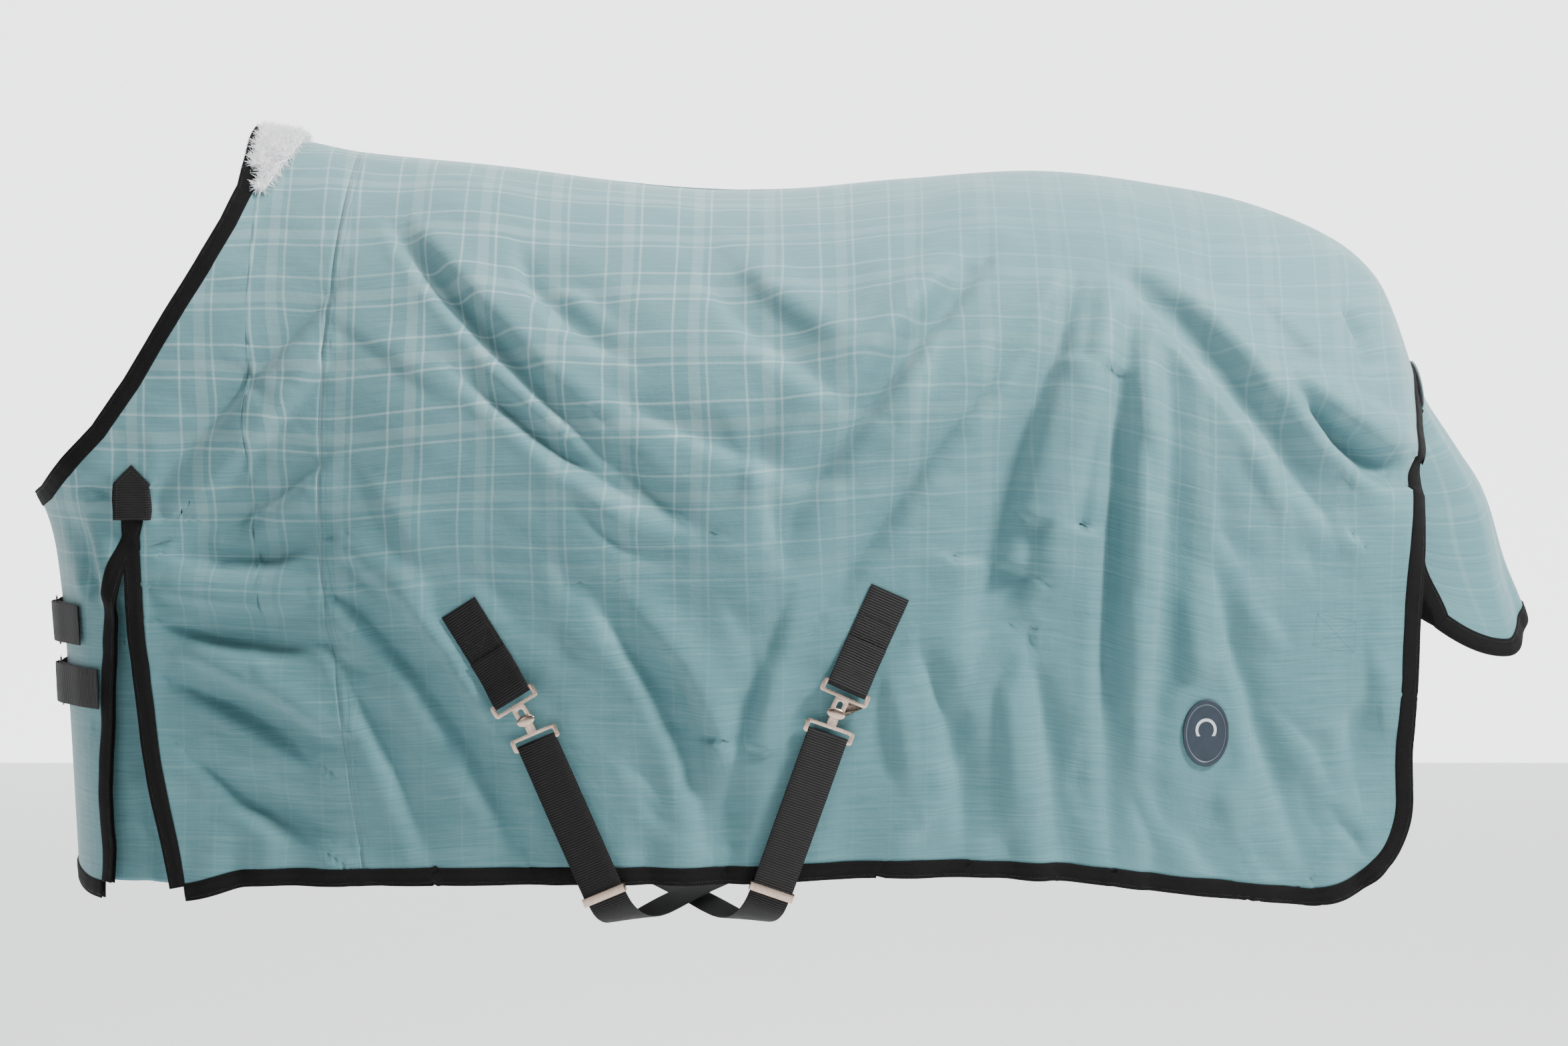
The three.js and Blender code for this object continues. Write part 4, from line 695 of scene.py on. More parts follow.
def moulded_rubber():
    """Slate rubber with a paler moulded rim line and a plain horseshoe."""
    look = Look("rubber_moulded_satin")
    parts = look.tree.nodes.new("ShaderNodeSeparateXYZ")
    look.tree.links.new(look.node("ShaderNodeTexCoord", out=2), parts.inputs[0])
    u, v = parts.outputs[0], parts.outputs[1]
    long = look.math("SQRT", look.math("ADD", look.math("POWER", look.math("DIVIDE", u, 0.0285), 2.0),
                                       look.math("POWER", look.math("DIVIDE", v, 0.0415), 2.0)))
    band = lambda value, at, half: look.math("LESS_THAN", look.math("ABSOLUTE", look.math("SUBTRACT", value, at)), half)
    shoe = look.math("SQRT", look.math("ADD", look.math("POWER", look.math("MULTIPLY", u, 1.12), 2.0),
                                       look.math("POWER", look.math("SUBTRACT", v, 0.004), 2.0)))
    arch = look.math("MULTIPLY", band(shoe, 0.0125, 0.0019), look.math("GREATER_THAN", v, -0.0035))
    where = look.coords((1, 1, 1), False)
    ground = look.mix(look.noise(where, 90.0), srgb("#1D2833"), srgb("#2F3D4A"))
    ground = look.mix(look.math("MULTIPLY", band(long, 0.845, 0.012), 0.55), ground, srgb("#8E99A2"))
    look.into("Base Color", look.mix(arch, ground, srgb("#D5DADD")))
    look.into("Roughness", 0.48)
    raised = look.math("ADD", look.math("MULTIPLY", arch, 1.0), look.math("MULTIPLY", look.noise(where, 1500.0, 2.0), 0.1))
    look.into("Normal", look.bump(raised, 0.0006, 0.8))
    return look.mat


def faux_fur():
    look = Look("acrylic_long_pile_fur")
    where = look.coords((1, 1, 1), False)
    look.into("Base Color", look.mix(look.noise(where, 240.0), srgb("#F4F4F6"), srgb("#FFFFFF")))
    look.into("Roughness", 0.9)
    look.into("Sheen Weight", 0.5)
    look.into("Subsurface Weight", 0.15)
    look.into("Subsurface Scale", 0.004)
    look.into("Normal", look.bump(look.noise(where, 320.0), 0.002, 0.5))
    return look.mat


TARTAN = tartan_ripstop()
NYLON = plain_cloth("nylon_taffeta_lining", "#101517", "#1D2427", 0.5)
BINDING = twill_tape()
WEBBING = ribbed_webbing()
STEEL = plated_steel()
RUBBER = moulded_rubber()
FUR = faux_fur()
THREAD = plain_cloth("polyester_thread_teal", "#3F6A71", "#5B868D", 0.6, False)
DARK_THREAD = plain_cloth("polyester_thread_black", "#0C0B0B", "#242122", 0.6, False)


def dress(obj, material):
    obj.data.materials.clear()
    obj.data.materials.append(material)
    return obj



# ---- panels and linings ----------------------------------------------------------------------
def hang(name, grid, heights, material, nodes, body="rug", keep=None):
    obj = dress(solid(name, grid, *heights, body, keep), material)
    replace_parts(obj, *nodes)
    return obj


grids = {}
for side in SIDES:
    front, back = cloth(shoulder_x, shoulder_z, side), cloth(body_x, body_z, side)
    grids[side] = front, back
    hang(f"shoulder_cloth_{side}", front, SHELL, TARTAN,
         [f"shoulder_panel_{side}"], keep=shoulder_keep)
    hang(f"shoulder_inner_{side}", front, LINING, NYLON,
         [f"shoulder_lining_{side}"], keep=shoulder_keep)
    hang(f"body_cloth_{side}", back, SHELL, TARTAN,
         [f"body_panel_front_{side}", f"body_panel_rear_{side}"])
    hang(f"body_inner_{side}", back, LINING, NYLON,
         [f"body_lining_{side}"])

# ---- tapes -----------------------------------------------------------------------------------
# Section of a folded tape as (distance in from the edge, height off the skin).
TAPE_SECTION = [(20, 4.2), (20, 5.2), (19.2, 5.6), (17, 5.2), (14.5, 5.7), (10, 5.9), (5, 5.8), (1, 5.6), (-1.3, 4.7),
                (-2.1, 2.9), (-2.1, 1.2), (-1.3, -0.5), (1, -1.4), (6, -1.5), (12, -1.5), (19, -1.4), (20, -0.9),
                (20, 0.0), (0.2, 0.0), (0.2, 4.2)]


def edge_run(x, z, spacing=4.0):
    """An edge given by side-view points, evenly spaced along the cloth, as q and z."""
    x, z = np.asarray(x, float), np.asarray(z, float)
    q = q_at(x, z)
    p, _ = skin(x, z)
    run = np.concatenate([[0], np.cumsum(np.linalg.norm(np.diff(p, axis=0), axis=-1))])
    at = np.linspace(0, run[-1], int(run[-1] / spacing) + 2)
    return np.interp(at, run, q), np.interp(at, run, z)


def walk_in(q, z, mirror, inward, steps):
    """From an edge into the cloth; inward is +1 or -1 across the edge's direction. Returns p, n per step."""
    p, n, along, up = on_cloth(q, z, mirror)
    line = np.gradient(p, axis=0)
    into = unit(np.cross(n, line)) * inward
    out = [(p, n)]
    for a, b in zip(steps, steps[1:]):
        aa, ab, bb = (along * along).sum(-1), (along * up).sum(-1), (up * up).sum(-1)
        ra, rb = (into * along).sum(-1) * (b - a), (into * up).sum(-1) * (b - a)
        det = np.maximum(aa * bb - ab * ab, 1e-6)
        q = q + np.clip((ra * bb - rb * ab) / det, -9, 9)
        z = z + np.clip((rb * aa - ra * ab) / det, -9, 9)
        z = np.minimum(z, topline(x_at(q, z)) - 0.02)
        p, n, along, up = on_cloth(q, z, mirror)
        into = unit(into - n * (into * n).sum(-1, keepdims=True))
        out.append((p, n))
    return out


def tape(name, q, z, inward, side, body="rug", layers=None):
    """A folded tape round a cloth edge, and the line of its stitches."""
    steps = [0, 4, 8, 12, 16, 20]
    layers = layers or walk_in(q, z, side == "right", inward, steps)
    p = np.stack([a for a, _ in layers], 1)
    n = np.stack([b for _, b in layers], 1)
    wob = 0.25 * np.sin(np.arange(len(p)) * 0.9 + 2 * np.sin(np.arange(len(p)) * 0.17))
    rings = []
    for w, d in TAPE_SECTION:
        k = np.clip(w / 4, 0, 5)
        a = min(int(k), 4)
        pp = p[:, a] + (p[:, a + 1] - p[:, a]) * (k - a)
        nn = unit(n[:, a] + (n[:, a + 1] - n[:, a]) * (k - a))
        if w < 0:
            pp = pp + unit(p[:, 0] - p[:, 1]) * -w
        rings.append(pp + nn * (d + (wob[:, None] if 0 < w < 19 and d > 4.5 else 0)))
    rings = side_of(np.stack(rings, 1), side)
    run = np.concatenate([[0], np.cumsum(np.linalg.norm(np.diff(p[:, 0], axis=0), axis=-1))])
    uv = np.stack(np.broadcast_arrays(run[:, None], np.array([w + (0 if d > 2 else 60) for w, d in TAPE_SECTION])), -1)
    obj = dress(sweep(name, rings, body, uv.reshape(-1, 2)), BINDING)
    seam = side_of(p[:, 4] + n[:, 4] * 5.35, side), side_of(n[:, 4], side)
    return obj, seam


seams = {"rug": [], "rug_dark": [], "tail_flap": []}
edge_z = np.linspace(-466, -893, 160)
low_x = x_at(chest_edge_q(-893.0), -893.0)
hem_front = np.linspace(float(low_x) + 1, float(slit_front(-935)), 60)
hem_back = np.linspace(float(slit_rear(-935)), float(shoulder_seam(-905)), 60)
slit_z = np.linspace(TIP_Z - 2, -934, 140)
rear_z = np.linspace(-818, float(topline(1446)) - 4, 160)
for side in SIDES:
    neck_x = np.interp(np.linspace(0, neck_run[-1], 200), neck_run, NECK[:, 0])
    runs = {
        "neck_binding": (neck_x, neck_z(neck_x), 1),
        "chest_edge_binding": (x_at(chest_edge_q(edge_z), edge_z), edge_z, -1),
        "chest_hem_binding": (hem_front, hem_line(hem_front), -1),
        "gusset_front_binding": (slit_front(slit_z), slit_z, 1),
        "gusset_rear_binding": (slit_rear(slit_z), slit_z, -1),
        "hem_binding": (np.concatenate([hem_back, body_foot[0][1:], rear_edge(rear_z)[1:]]),
                        np.concatenate([hem_line(hem_back), body_foot[1][1:], rear_z[1:]]), -1),
    }
    for name, (ex, ez, inward) in runs.items():
        obj, seam = tape(f"{name}_tape_{side}", *edge_run(ex, ez), inward, side)
        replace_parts(obj, f"{name}_{side}")
        seams["rug_dark"].append(seam)

# ---- webbing ---------------------------------------------------------------------------------
HALF = WEB_THICK / 2
SEWN = 4.5 + HALF
PLAY = 0.35
BAR = 4.5
PLATE = 2.5


def local_frame(origin, normal, toward):
    """A function from (along, across, out) to points, with its own directions."""
    n = unit(normal)
    a = unit(toward - n * (toward @ n))
    b = np.cross(n, a)
    at = lambda along, across=0.0, out=0.0: origin + a * along + b * across + n * out
    at.a, at.b, at.n = a, b, n
    return at


def smooth_path(points, across, spacing):
    """A rounded path through points, evenly spaced, with the width direction carried along."""
    p, w = np.array(points, float), np.array(across, float)
    gap = np.linalg.norm(np.diff(p, axis=0), axis=-1) ** 0.5
    t = np.concatenate([[0], np.cumsum(gap)])
    slope = np.gradient(p, t, axis=0)
    fine = np.linspace(0, t[-1], 40 * len(p))
    i = np.clip(np.searchsorted(t, fine, side="right") - 1, 0, len(t) - 2)
    h = (t[i + 1] - t[i])[:, None]
    f = ((fine - t[i]) / h[:, 0])[:, None]
    q = (p[i] * (2 * f**3 - 3 * f**2 + 1) + slope[i] * h * (f**3 - 2 * f**2 + f)
         + p[i + 1] * (3 * f**2 - 2 * f**3) + slope[i + 1] * h * (f**3 - f**2))
    w = w[i] * (1 - f) + w[i + 1] * f
    run = np.concatenate([[0], np.cumsum(np.linalg.norm(np.diff(q, axis=0), axis=-1))])
    at = np.linspace(0, run[-1], int(run[-1] / spacing) + 2)
    pick = lambda v: np.stack([np.interp(at, run, v[:, k]) for k in range(3)], -1)
    return pick(q), unit(pick(w)), at


def webbing(name, points, across, body, nodes, width=WEB, spacing=2.5):
    p, w, run = smooth_path(points, across, spacing)
    along = unit(np.gradient(p, axis=0))
    w = unit(w - along * (w * along).sum(-1, keepdims=True))
    out = np.cross(w, along)
    side = np.array([-1, -0.97, -0.6, 0, 0.6, 0.97, 1, 1, 0.97, 0.6, 0, -0.6, -0.97, -1]) * width / 2
    lift = np.array([-0.3, -0.8, -1, -1, -1, -0.8, -0.3, 0.3, 0.8, 1, 1, 1, 0.8, 0.3]) * HALF
    rings = p[:, None] + w[:, None] * side[None, :, None] + out[:, None] * lift[None, :, None]
    uv = np.stack(np.broadcast_arrays(run[:, None], side[None, :] + width), -1)
    obj = dress(sweep(name, rings, body, uv.reshape(-1, 2)), WEBBING)
    if nodes:
        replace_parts(obj, *nodes)
    return obj


def loop_round(a0, d0, d1, turn):
    """Webbing turned round a flat bar: in along its under side and back on top, as (along, out)."""
    under, over = d0 - PLAY - HALF, d1 + PLAY + HALF
    r, reach = (over - under) / 2, BAR / 2
    arc = [(a0 + turn * (reach + math.sin(w) * r * 0.75), (under + over) / 2 - math.cos(w) * r)
           for w in (math.pi * k / 6 for k in range(1, 6))]
    return [(a0 - turn * reach, under), (a0 + turn * reach, under), *arc, (a0 + turn * reach, over),
            (a0 - turn * reach, over)]


def on_skin(a, b, lifts):
    """Webbing stations from one side-view point to another: points and width directions."""
    t = np.linspace(0, 1, len(lifts)) if len(lifts) > 1 else np.zeros(1)
    x, z = a[0] + (b[0] - a[0]) * t, a[1] + (b[1] - a[1]) * t
    p, n = skin(x, z)
    w = unit(np.cross(n, np.array([b[0] - a[0], 0, b[1] - a[1]])))
    return list(p + n * np.array(lifts)[:, None]), list(w)


def stitch_box(centre, along, across, half_a, half_b, out):
    """A box with its cross, as runs of points."""
    corner = lambda i, j: centre + along * half_a * i + across * half_b * j
    path = [corner(-1, -1), corner(1, -1), corner(1, 1), corner(-1, 1), corner(-1, -1), corner(1, 1)]
    runs = [np.array(path), np.array([corner(-1, 1), corner(1, -1)])]
    return [(r, np.broadcast_to(out, r.shape)) for r in runs]


HOOK_FROM = 10.5
CATCH_FROM = HOOK_FROM + PLATE + 1.2
under = HOOK_FROM - PLAY - HALF
over = HOOK_FROM + PLATE + PLAY + HALF
surcingles = {}
for name, head, lock, foot in (("front", (261, -575), (346, -711), (440, -925)),
                               ("rear", (786, -551), (719, -699), (641, -919))):
    (top, out), (end, _), (far, _) = (skin(*point) for point in (lock, foot, head))
    chord = end - top
    drop = local_frame(top, out - chord * (out @ chord) / (chord @ chord), chord)
    sewn = local_frame(top, drop.n, top - far)
    surcingles[name] = dict(head=head, lock=lock, foot=foot, drop=drop, sewn=sewn, length=np.linalg.norm(chord))

for name, s in surcingles.items():
    head, lock, drop, sewn = (np.array(s["head"]), np.array(s["lock"]), s["drop"], s["sewn"])
    reach = np.linalg.norm(lock - head)
    point = lambda distance: head + (lock - head) * (1 - distance / reach)
    p, w = on_skin(point(160), point(74), [SEWN] * 6)
    p2, w2 = on_skin(point(63), point(62), [SEWN + 1.2])
    flat = [(-48, 10.8), *loop_round(-33.75, CATCH_FROM, CATCH_FROM + PLATE, 1), (-48, 14.5), (-60, 9.4)]
    p3, w3 = on_skin(point(92), point(74), [SEWN + 2.3] * 2)
    points = p + p2 + [sewn(a, 0, d) for a, d in flat] + p3[::-1]
    webbing(f"anchor_web_{name}", points, w + w2 + [sewn.b] * len(flat) + w3[::-1], "rug", [f"surcingle_anchor_{name}_left"])
    (c,), (cw,) = on_skin(point(104), point(103), [SEWN + 0.85])
    _, cn = skin(*point(104))
    seams["rug_dark"] += stitch_box(c, unit(np.cross(cw, cn)), cw, 20, 20, cn)
    hang_path = loop_round(31, HOOK_FROM, HOOK_FROM + PLATE, -1)
    length = s["length"] + 12
    path = [(length - 13.5, under), (length / 2, under - 0.6), *hang_path, (length / 2, over + 1.6), (length - 9, over)]
    webbing(f"drop_web_{name}", [drop(a, 0, d) for a, d in path], [drop.b] * len(path), f"surcingle_{name}",
            [f"surcingle_drop_{name}"])

for k, (name, other) in enumerate((("front", "rear"), ("rear", "front"))):
    near, far = surcingles[name], surcingles[other]
    start = near["drop"](near["length"] - 0.5, 0, under)
    lift = SEWN + 2.6
    p, w = on_skin(far["foot"], far["lock"], [lift + 1, lift, lift - 0.5, SEWN + 0.3, SEWN])
    p, w = [v * FLIP for v in p], [v * FLIP for v in w]
    low = -966 - 6 * k
    gap = far["foot"][0] - near["foot"][0]
    middle = np.array([(near["foot"][0] + far["foot"][0]) / 2, 0, low])
    first = [start, start + near["drop"].a * 62, np.array([near["foot"][0] + gap * 0.22, -180, low]), middle]
    second = [middle, np.array([near["foot"][0] + gap * 0.78, 180, low]), p[0] - unit(p[1] - p[0]) * 62, p[0]]
    path = []
    for c in (first, second):
        for t in np.arange(8) / 8:
            u = 1 - t
            path.append(c[0] * u**3 + 3 * c[1] * u * u * t + 3 * c[2] * u * t * t + c[3] * t**3)
    ahead = unit(np.array([gap, 630.0, 0]))
    flat = np.array([ahead[1], -ahead[0], 0])
    keep = lambda v: v if v @ flat > 0 else -v
    ends = keep(near["drop"].b), keep(w[0])
    across = []
    for i in range(16):
        t = i / 15
        e, mix = (ends[0], 1 - step(0, 0.4, t)) if t < 0.5 else (ends[1], step(0.6, 1, t))
        across.append(e * mix + flat * (1 - mix))
    flip = 1 if w[0] @ flat > 0 else -1
    strap = webbing(f"belly_web_{name}", path + p, across + [v * flip for v in w], "rug", [f"belly_strap_{name}"], spacing=5)
    strap.parent = None
    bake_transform(strap)
    head, lock = np.array(far["head"], float), np.array(far["lock"], float)
    stop = head + (lock - head) * (1 - 6 / np.linalg.norm(lock - head))
    p, w = on_skin(head, stop, [SEWN] * 6)
    webbing(f"anchor_web_{other}_right", [v * FLIP for v in p], [v * FLIP for v in w], "rug",
            [f"surcingle_anchor_{other}_right"])


def chest_point(y, z):
    full = np.minimum(0.98, (abs(y) / width_at(chest_line(z) + CHEST_RADIUS / 2, z)) ** 2)
    x = chest_line(z) + CHEST_RADIUS * (1 - np.sqrt(1 - full))
    level = lambda a, b, c: fill(x + a, z + c) - ((abs(y) + b) / width_at(x + a, z + c)) ** 2
    n = unit(np.array([level(-0.5, 0, 0) - level(0.5, 0, 0), level(0, 0.5, 0) - level(0, -0.5, 0),
                       level(0, 0, -0.5) - level(0, 0, 0.5)]))
    n = -n if n[0] > 0 else n
    n[1] = -abs(n[1])
    p = np.array([x, -abs(y), z])
    return (p, n) if y >= 0 else (p * FLIP, n * FLIP)


for name, z, end in (("upper", -612, 128), ("lower", -690, 150)):
    buckle = local_frame(*chest_point(37, z), np.array([0, -1.0, 0]))
    bar = 17 - BAR / 2
    near_chest = lambda stations: [chest_point(y, z)[0] + chest_point(y, z)[1] * d for y, d in stations]
    in_buckle = lambda stations: [buckle(a, 0, d) for a, d in stations]
    loop = loop_round(bar, 10, 10 + PLATE, -1)
    points = (near_chest([(118, SEWN), (98, SEWN), (76, SEWN + 0.6)]) + in_buckle([(bar + 9, 8.2), *loop, (bar + 9, 13),
              (bar + 20, 9.4)]) + near_chest([(84, SEWN + 2.6), (92, SEWN + 2.4)]))
    webbing(f"tab_web_{name}", points, [buckle.b] * len(points), "rug", [f"chest_tab_{name}"])
    points = (near_chest([(-118, SEWN), (-92, SEWN), (-62, SEWN + 1), (-30, 8.3), (0, 8.6)]) + in_buckle([(-20, 8.5),
              (-12.4, 8.7), (-7, 12.2), (0, 16), (8, 17.8), (18, 17.6)])
              + near_chest([(74, 15), (96, 10.4), (118, 8.9), (end, 8.6)]))
    webbing(f"chest_web_{name}", points, [buckle.b] * len(points), "rug", [f"chest_strap_{name}"])

spot, out = skin(1331, -604)
inside = local_frame(spot, out, np.array([-0.22, 0, -1]))
path = [(-30, -2), (4, -2.2), (16, -3.2), (23.6, -3.9), (26, -3.9), (28.6, -5), (29.7, -7.4), (28.6, -9.8), (26, -10.9),
        (20, -9.8), (4, -5.4), (-26, -4.6)]
for side in SIDES:
    webbing(f"leg_loop_web_{side}", [side_of(inside(a, 0, d), side) for a, d in path],
            [side_of(inside.b, side)] * len(path), "rug", [f"leg_loop_{side}"], width=44)

# ---- metal, from the solids with their edges rounded -------------------------------------------
def merged_copy(node):
    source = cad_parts[node]
    b = bmesh.new()
    b.from_mesh(source.data)
    b.transform(source.matrix_world)
    bmesh.ops.remove_doubles(b, verts=b.verts, dist=1e-6)
    bmesh.ops.dissolve_limit(b, angle_limit=math.radians(1), verts=b.verts, edges=b.edges)
    return b


def metal(node, body, round_by=0.8, dome=None):
    b = merged_copy(node)
    sharp = [e for e in b.edges if len(e.link_faces) == 2 and e.calc_face_angle() > math.radians(35)]
    bmesh.ops.bevel(b, geom=sharp, offset=round_by * MM, segments=3, profile=0.5, affect="EDGES", clamp_overlap=True)
    if dome:
        # the button's crown
        at, n, a, long, wide, high = dome
        made = bmesh.ops.create_uvsphere(b, u_segments=32, v_segments=16, radius=1.0)["verts"]
        turn = Matrix((np.cross(n, a) * wide * MM, a * long * MM, n * high * MM)).transposed().to_4x4()
        turn.translation = Vector(at * MM)
        bmesh.ops.transform(b, matrix=turn, verts=made)
    mesh = bpy.data.meshes.new(node + "_metal")
    b.to_mesh(mesh)
    b.free()
    mesh.polygons.foreach_set("use_smooth", [True] * len(mesh.polygons))
    mesh.set_sharp_from_angle(angle=math.radians(40))
    obj = bpy.data.objects.new(node + "_metal", mesh)
    bpy.context.scene.collection.objects.link(obj)
    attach(obj, body)
    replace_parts(dress(obj, STEEL), node)
    return obj


for name, s in surcingles.items():
    drop = s["drop"]
    metal(f"surcingle_catch_{name}", "rug")
    metal(f"surcingle_hook_{name}", f"surcingle_{name}", dome=(drop(0, 0, CATCH_FROM + PLATE + 2.2), drop.n, drop.a, 6.9, 11.8, 2.6))
    metal(f"surcingle_slider_{name}", f"slider_{name}", 0.5)
for name in ("upper", "lower"):
    metal(f"chest_buckle_{name}", "rug")
    metal(f"chest_prong_{name}", f"prong_{name}", 0.5)
for side in SIDES:
    metal(f"leg_ring_{side}", f"leg_ring_{side}", 0.7)

# ---- gusset and its webbing tip ----------------------------------------------------------------
gz = np.linspace(TIP_Z + 8, -933, 110)[None, :]
across = np.linspace(0, 1, 46)[:, None]
gx = (slit_front(gz) - 20) * (1 - across) + (slit_rear(gz) + 20) * across
open_by = np.clip((TIP_Z - gz) / (TIP_Z + 935), 0, 1)
pleat = np.sin(np.pi * across) ** 2 * 34 * open_by + 3 * np.sin(np.pi * across)
pleat = pleat + 3.5 * open_by * np.sin(np.pi * across) * np.sin(across * 17 + gz / 60)
sx_, sz_ = np.broadcast_arrays(gx, gz)
for side in SIDES:
    p, n, _, _ = on_cloth(q_at(sx_, sz_), sz_, side == "right")
    p = p - n * pleat[..., None]
    fold = Cloth(side_of(p, side), side_of(smooth_normals(p, n), side), sx_ + 0.6 * pleat, down_the_cloth(sx_, sz_))
    hang(f"gusset_cloth_{side}", fold, (-4.5, -3), TARTAN,
         [f"gusset_{side}"])
    foot = TIP_Z - 6
    up = np.linspace(0, 68, 28)[None, :]
    wide = np.minimum(23, (68.6 - up) * 23 / 22.6) * np.linspace(-1, 1, 17)[:, None]
    tx = float((slit_front(foot) + slit_rear(foot)) / 2) + wide * 0.97
    tz = np.broadcast_to(foot + up, tx.shape)
    p, n, _, _ = on_cloth(q_at(tx, tz), tz, side == "right")
    tip = Cloth(side_of(p, side), side_of(n, side), tz, tx)
    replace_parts(dress(solid(f"gusset_tip_web_{side}", tip, 6.1, 7.7, "rug"), WEBBING), f"gusset_tip_{side}")
    for inset in (4.0,):
        line = [(-23 + inset, 2), (-23 + inset, 44), (0, 62), (23 - inset, 44), (23 - inset, 2), (-23 + inset, 2)]
        lx = np.interp(np.linspace(0, 5, 60), np.arange(6), [float(v[0]) for v in line]) * 0.97 + tx[8, 0]
        lz = np.interp(np.linspace(0, 5, 60), np.arange(6), [float(v[1]) for v in line]) + foot
        p, n, _, _ = on_cloth(q_at(lx, lz), lz, side == "right")
        seams["rug_dark"].append((side_of(p + n * 7.75, side), side_of(n, side)))

# ---- tail flap -----------------------------------------------------------------------------------
flap_middle = curve((-290, 1453), (-367, 1504), (-452, 1539), (-545, 1569), (-610, 1592), (-680, 1612))
flap_side = curve((-331, 1447), (-450, 1447), (-570, 1451), (-668, 1462), (-760, 1474))


def flap_surface(v, s, creased=True):
    y = v * 118 * (1 + 0.06 * s)
    share = np.minimum(0.9, (np.abs(v) * 118 / width_at(1446, -300)) ** 2)
    top = topline(1446) - back_radius(1446) * (1 - np.sqrt(1 - share)) - 1
    bottom = top - (325 + 26 * step(0, 0.7, np.abs(v)))
    round_ = (1 - np.sqrt(1 - np.maximum(0, (np.abs(v) - 0.55) / 0.45) ** 2 * 0.96)) * 88
    z = top + (bottom + round_ - top) * s
    full = np.sqrt(1 - v * v * 0.98)
    x = flap_side(z) + (flap_middle(z) - flap_side(z)) * full * step(-0.12, 0.5, s) + 4.5 + 2 * (1 - s)
    x = x - 30 * step(0.62, 1, np.abs(v)) * step(0.0, 0.2, s) * (1 - 0.7 * step(0.72, 1, s))
    p = np.stack([x, y, z], -1)
    if creased:
        soft = step(0.03, 0.25, s)
        d = soft * (3.2 * wave(y * 1.5, z, 31, 130) + 4.5 * np.exp(-(((v + 0.5 - 0.35 * s) / 0.16) ** 2))
                    - 4 * np.exp(-(((v + 0.16 + 0.2 * s) / 0.13) ** 2)) + 3 * np.sin(s * 9 + v * 3) * np.exp(-((s / 0.3) ** 2)))
        outward = unit(np.stack([np.ones_like(y) * 60, y * 1.0, z * 0], -1))
        p = p + outward * d[..., None]
    return p


v = np.sin(np.linspace(-1, 1, 110) * math.pi / 2)[:, None]
t = np.linspace(0, 1, 90)[None, :]
fv, ft = np.broadcast_arrays(v, t)
p = flap_surface(fv, ft)
n = smooth_normals(p, np.stack([np.ones_like(fv) * 30, p[..., 1], fv * 0], -1))
flap = Cloth(p, n, p[..., 1] + 1500, ft * 350 + 300)
hang("tail_flap_cloth", flap, SHELL, TARTAN, ["tail_flap"], "tail_flap")
hang("tail_flap_inner", flap, LINING, NYLON, ["tail_flap_lining"],
     "tail_flap")
rim = [(0, j) for j in range(3, 90)] + [(i, 89) for i in range(1, 110)] + [(109, j) for j in range(88, 2, -1)]
edge_p = np.array([p[i, j] for i, j in rim])
edge_n = np.array([n[i, j] for i, j in rim])
even = np.cumsum(np.concatenate([[0], np.linalg.norm(np.diff(edge_p, axis=0), axis=-1)]))
at = np.linspace(0, even[-1], int(even[-1] / 4))
edge_p = np.stack([np.interp(at, even, edge_p[:, k]) for k in range(3)], -1)
edge_n = unit(np.stack([np.interp(at, even, edge_n[:, k]) for k in range(3)], -1))
into = unit(np.cross(edge_n, np.gradient(edge_p, axis=0)))
centre = p[54, 40]
into = np.where(((centre - edge_p) * into).sum(-1, keepdims=True) < 0, -into, into)
layers = []
flat_p, flat_n = p.reshape(-1, 3), n.reshape(-1, 3)
for w in (0, 4, 8, 12, 16, 20):
    want = edge_p + into * w
    near = np.array([((flat_p - q) ** 2).sum(-1).argmin() for q in want]) if w else None
    if w:
        nn = flat_n[near]
        want = want - nn * ((want - flat_p[near]) * nn).sum(-1, keepdims=True)
        layers.append((want, nn))
    else:
        layers.append((edge_p, edge_n))
obj, seam = tape("tail_flap_tape", None, None, 1, "left", "tail_flap", layers)
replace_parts(obj, "tail_flap_binding")
seams["tail_flap"].append(seam)

# ---- badge ---------------------------------------------------------------------------------------
r = np.concatenate([np.linspace(0.001, 0.84, 20), np.linspace(0.86, 1, 14)])[None, :]
w = np.linspace(0, -2 * math.pi, 97)[:, None]
bx, bz = 1171 + 28.5 * r * np.cos(w), -730 + 41.5 * r * np.sin(w)
p, n, _, _ = on_cloth(q_at(bx, bz), bz)
swell = 2.2 - 1.2 * step(0.88, 0.84, r) - 2.0 * step(0.97, 1.0, r) ** 2 + 0.35 * np.cos(r * 1.5)
p = p + n * (swell + 4.9)[..., None]
spokes = np.concatenate([p[:-1].reshape(-1, 3), (p[:-1] - n[:-1] * (swell + 0.0)[..., None])[:, -1]])
rows = p.shape[1]
faces = []
count = 96
for i in range(count):
    k = (i + 1) % count
    faces += [(i * rows + j, k * rows + j, k * rows + j + 1, i * rows + j + 1) for j in range(rows - 1)]
    faces.append((i * rows + rows - 1, k * rows + rows - 1, count * rows + k, count * rows + i))
faces.append(tuple(i * rows for i in range(count))[::-1])
faces.append(tuple(count * rows + i for i in range(count)))
uv = np.stack([(bx - 1171)[:-1].ravel(), (bz + 730)[:-1].ravel()], -1)
rim_uv = np.stack([(bx - 1171)[:-1, -1], (bz + 730)[:-1, -1]], -1)
badge = face_out(new_mesh("badge_rubber", spokes, faces, "rug", np.concatenate([uv, rim_uv])))
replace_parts(dress(badge, RUBBER), "maker_badge")

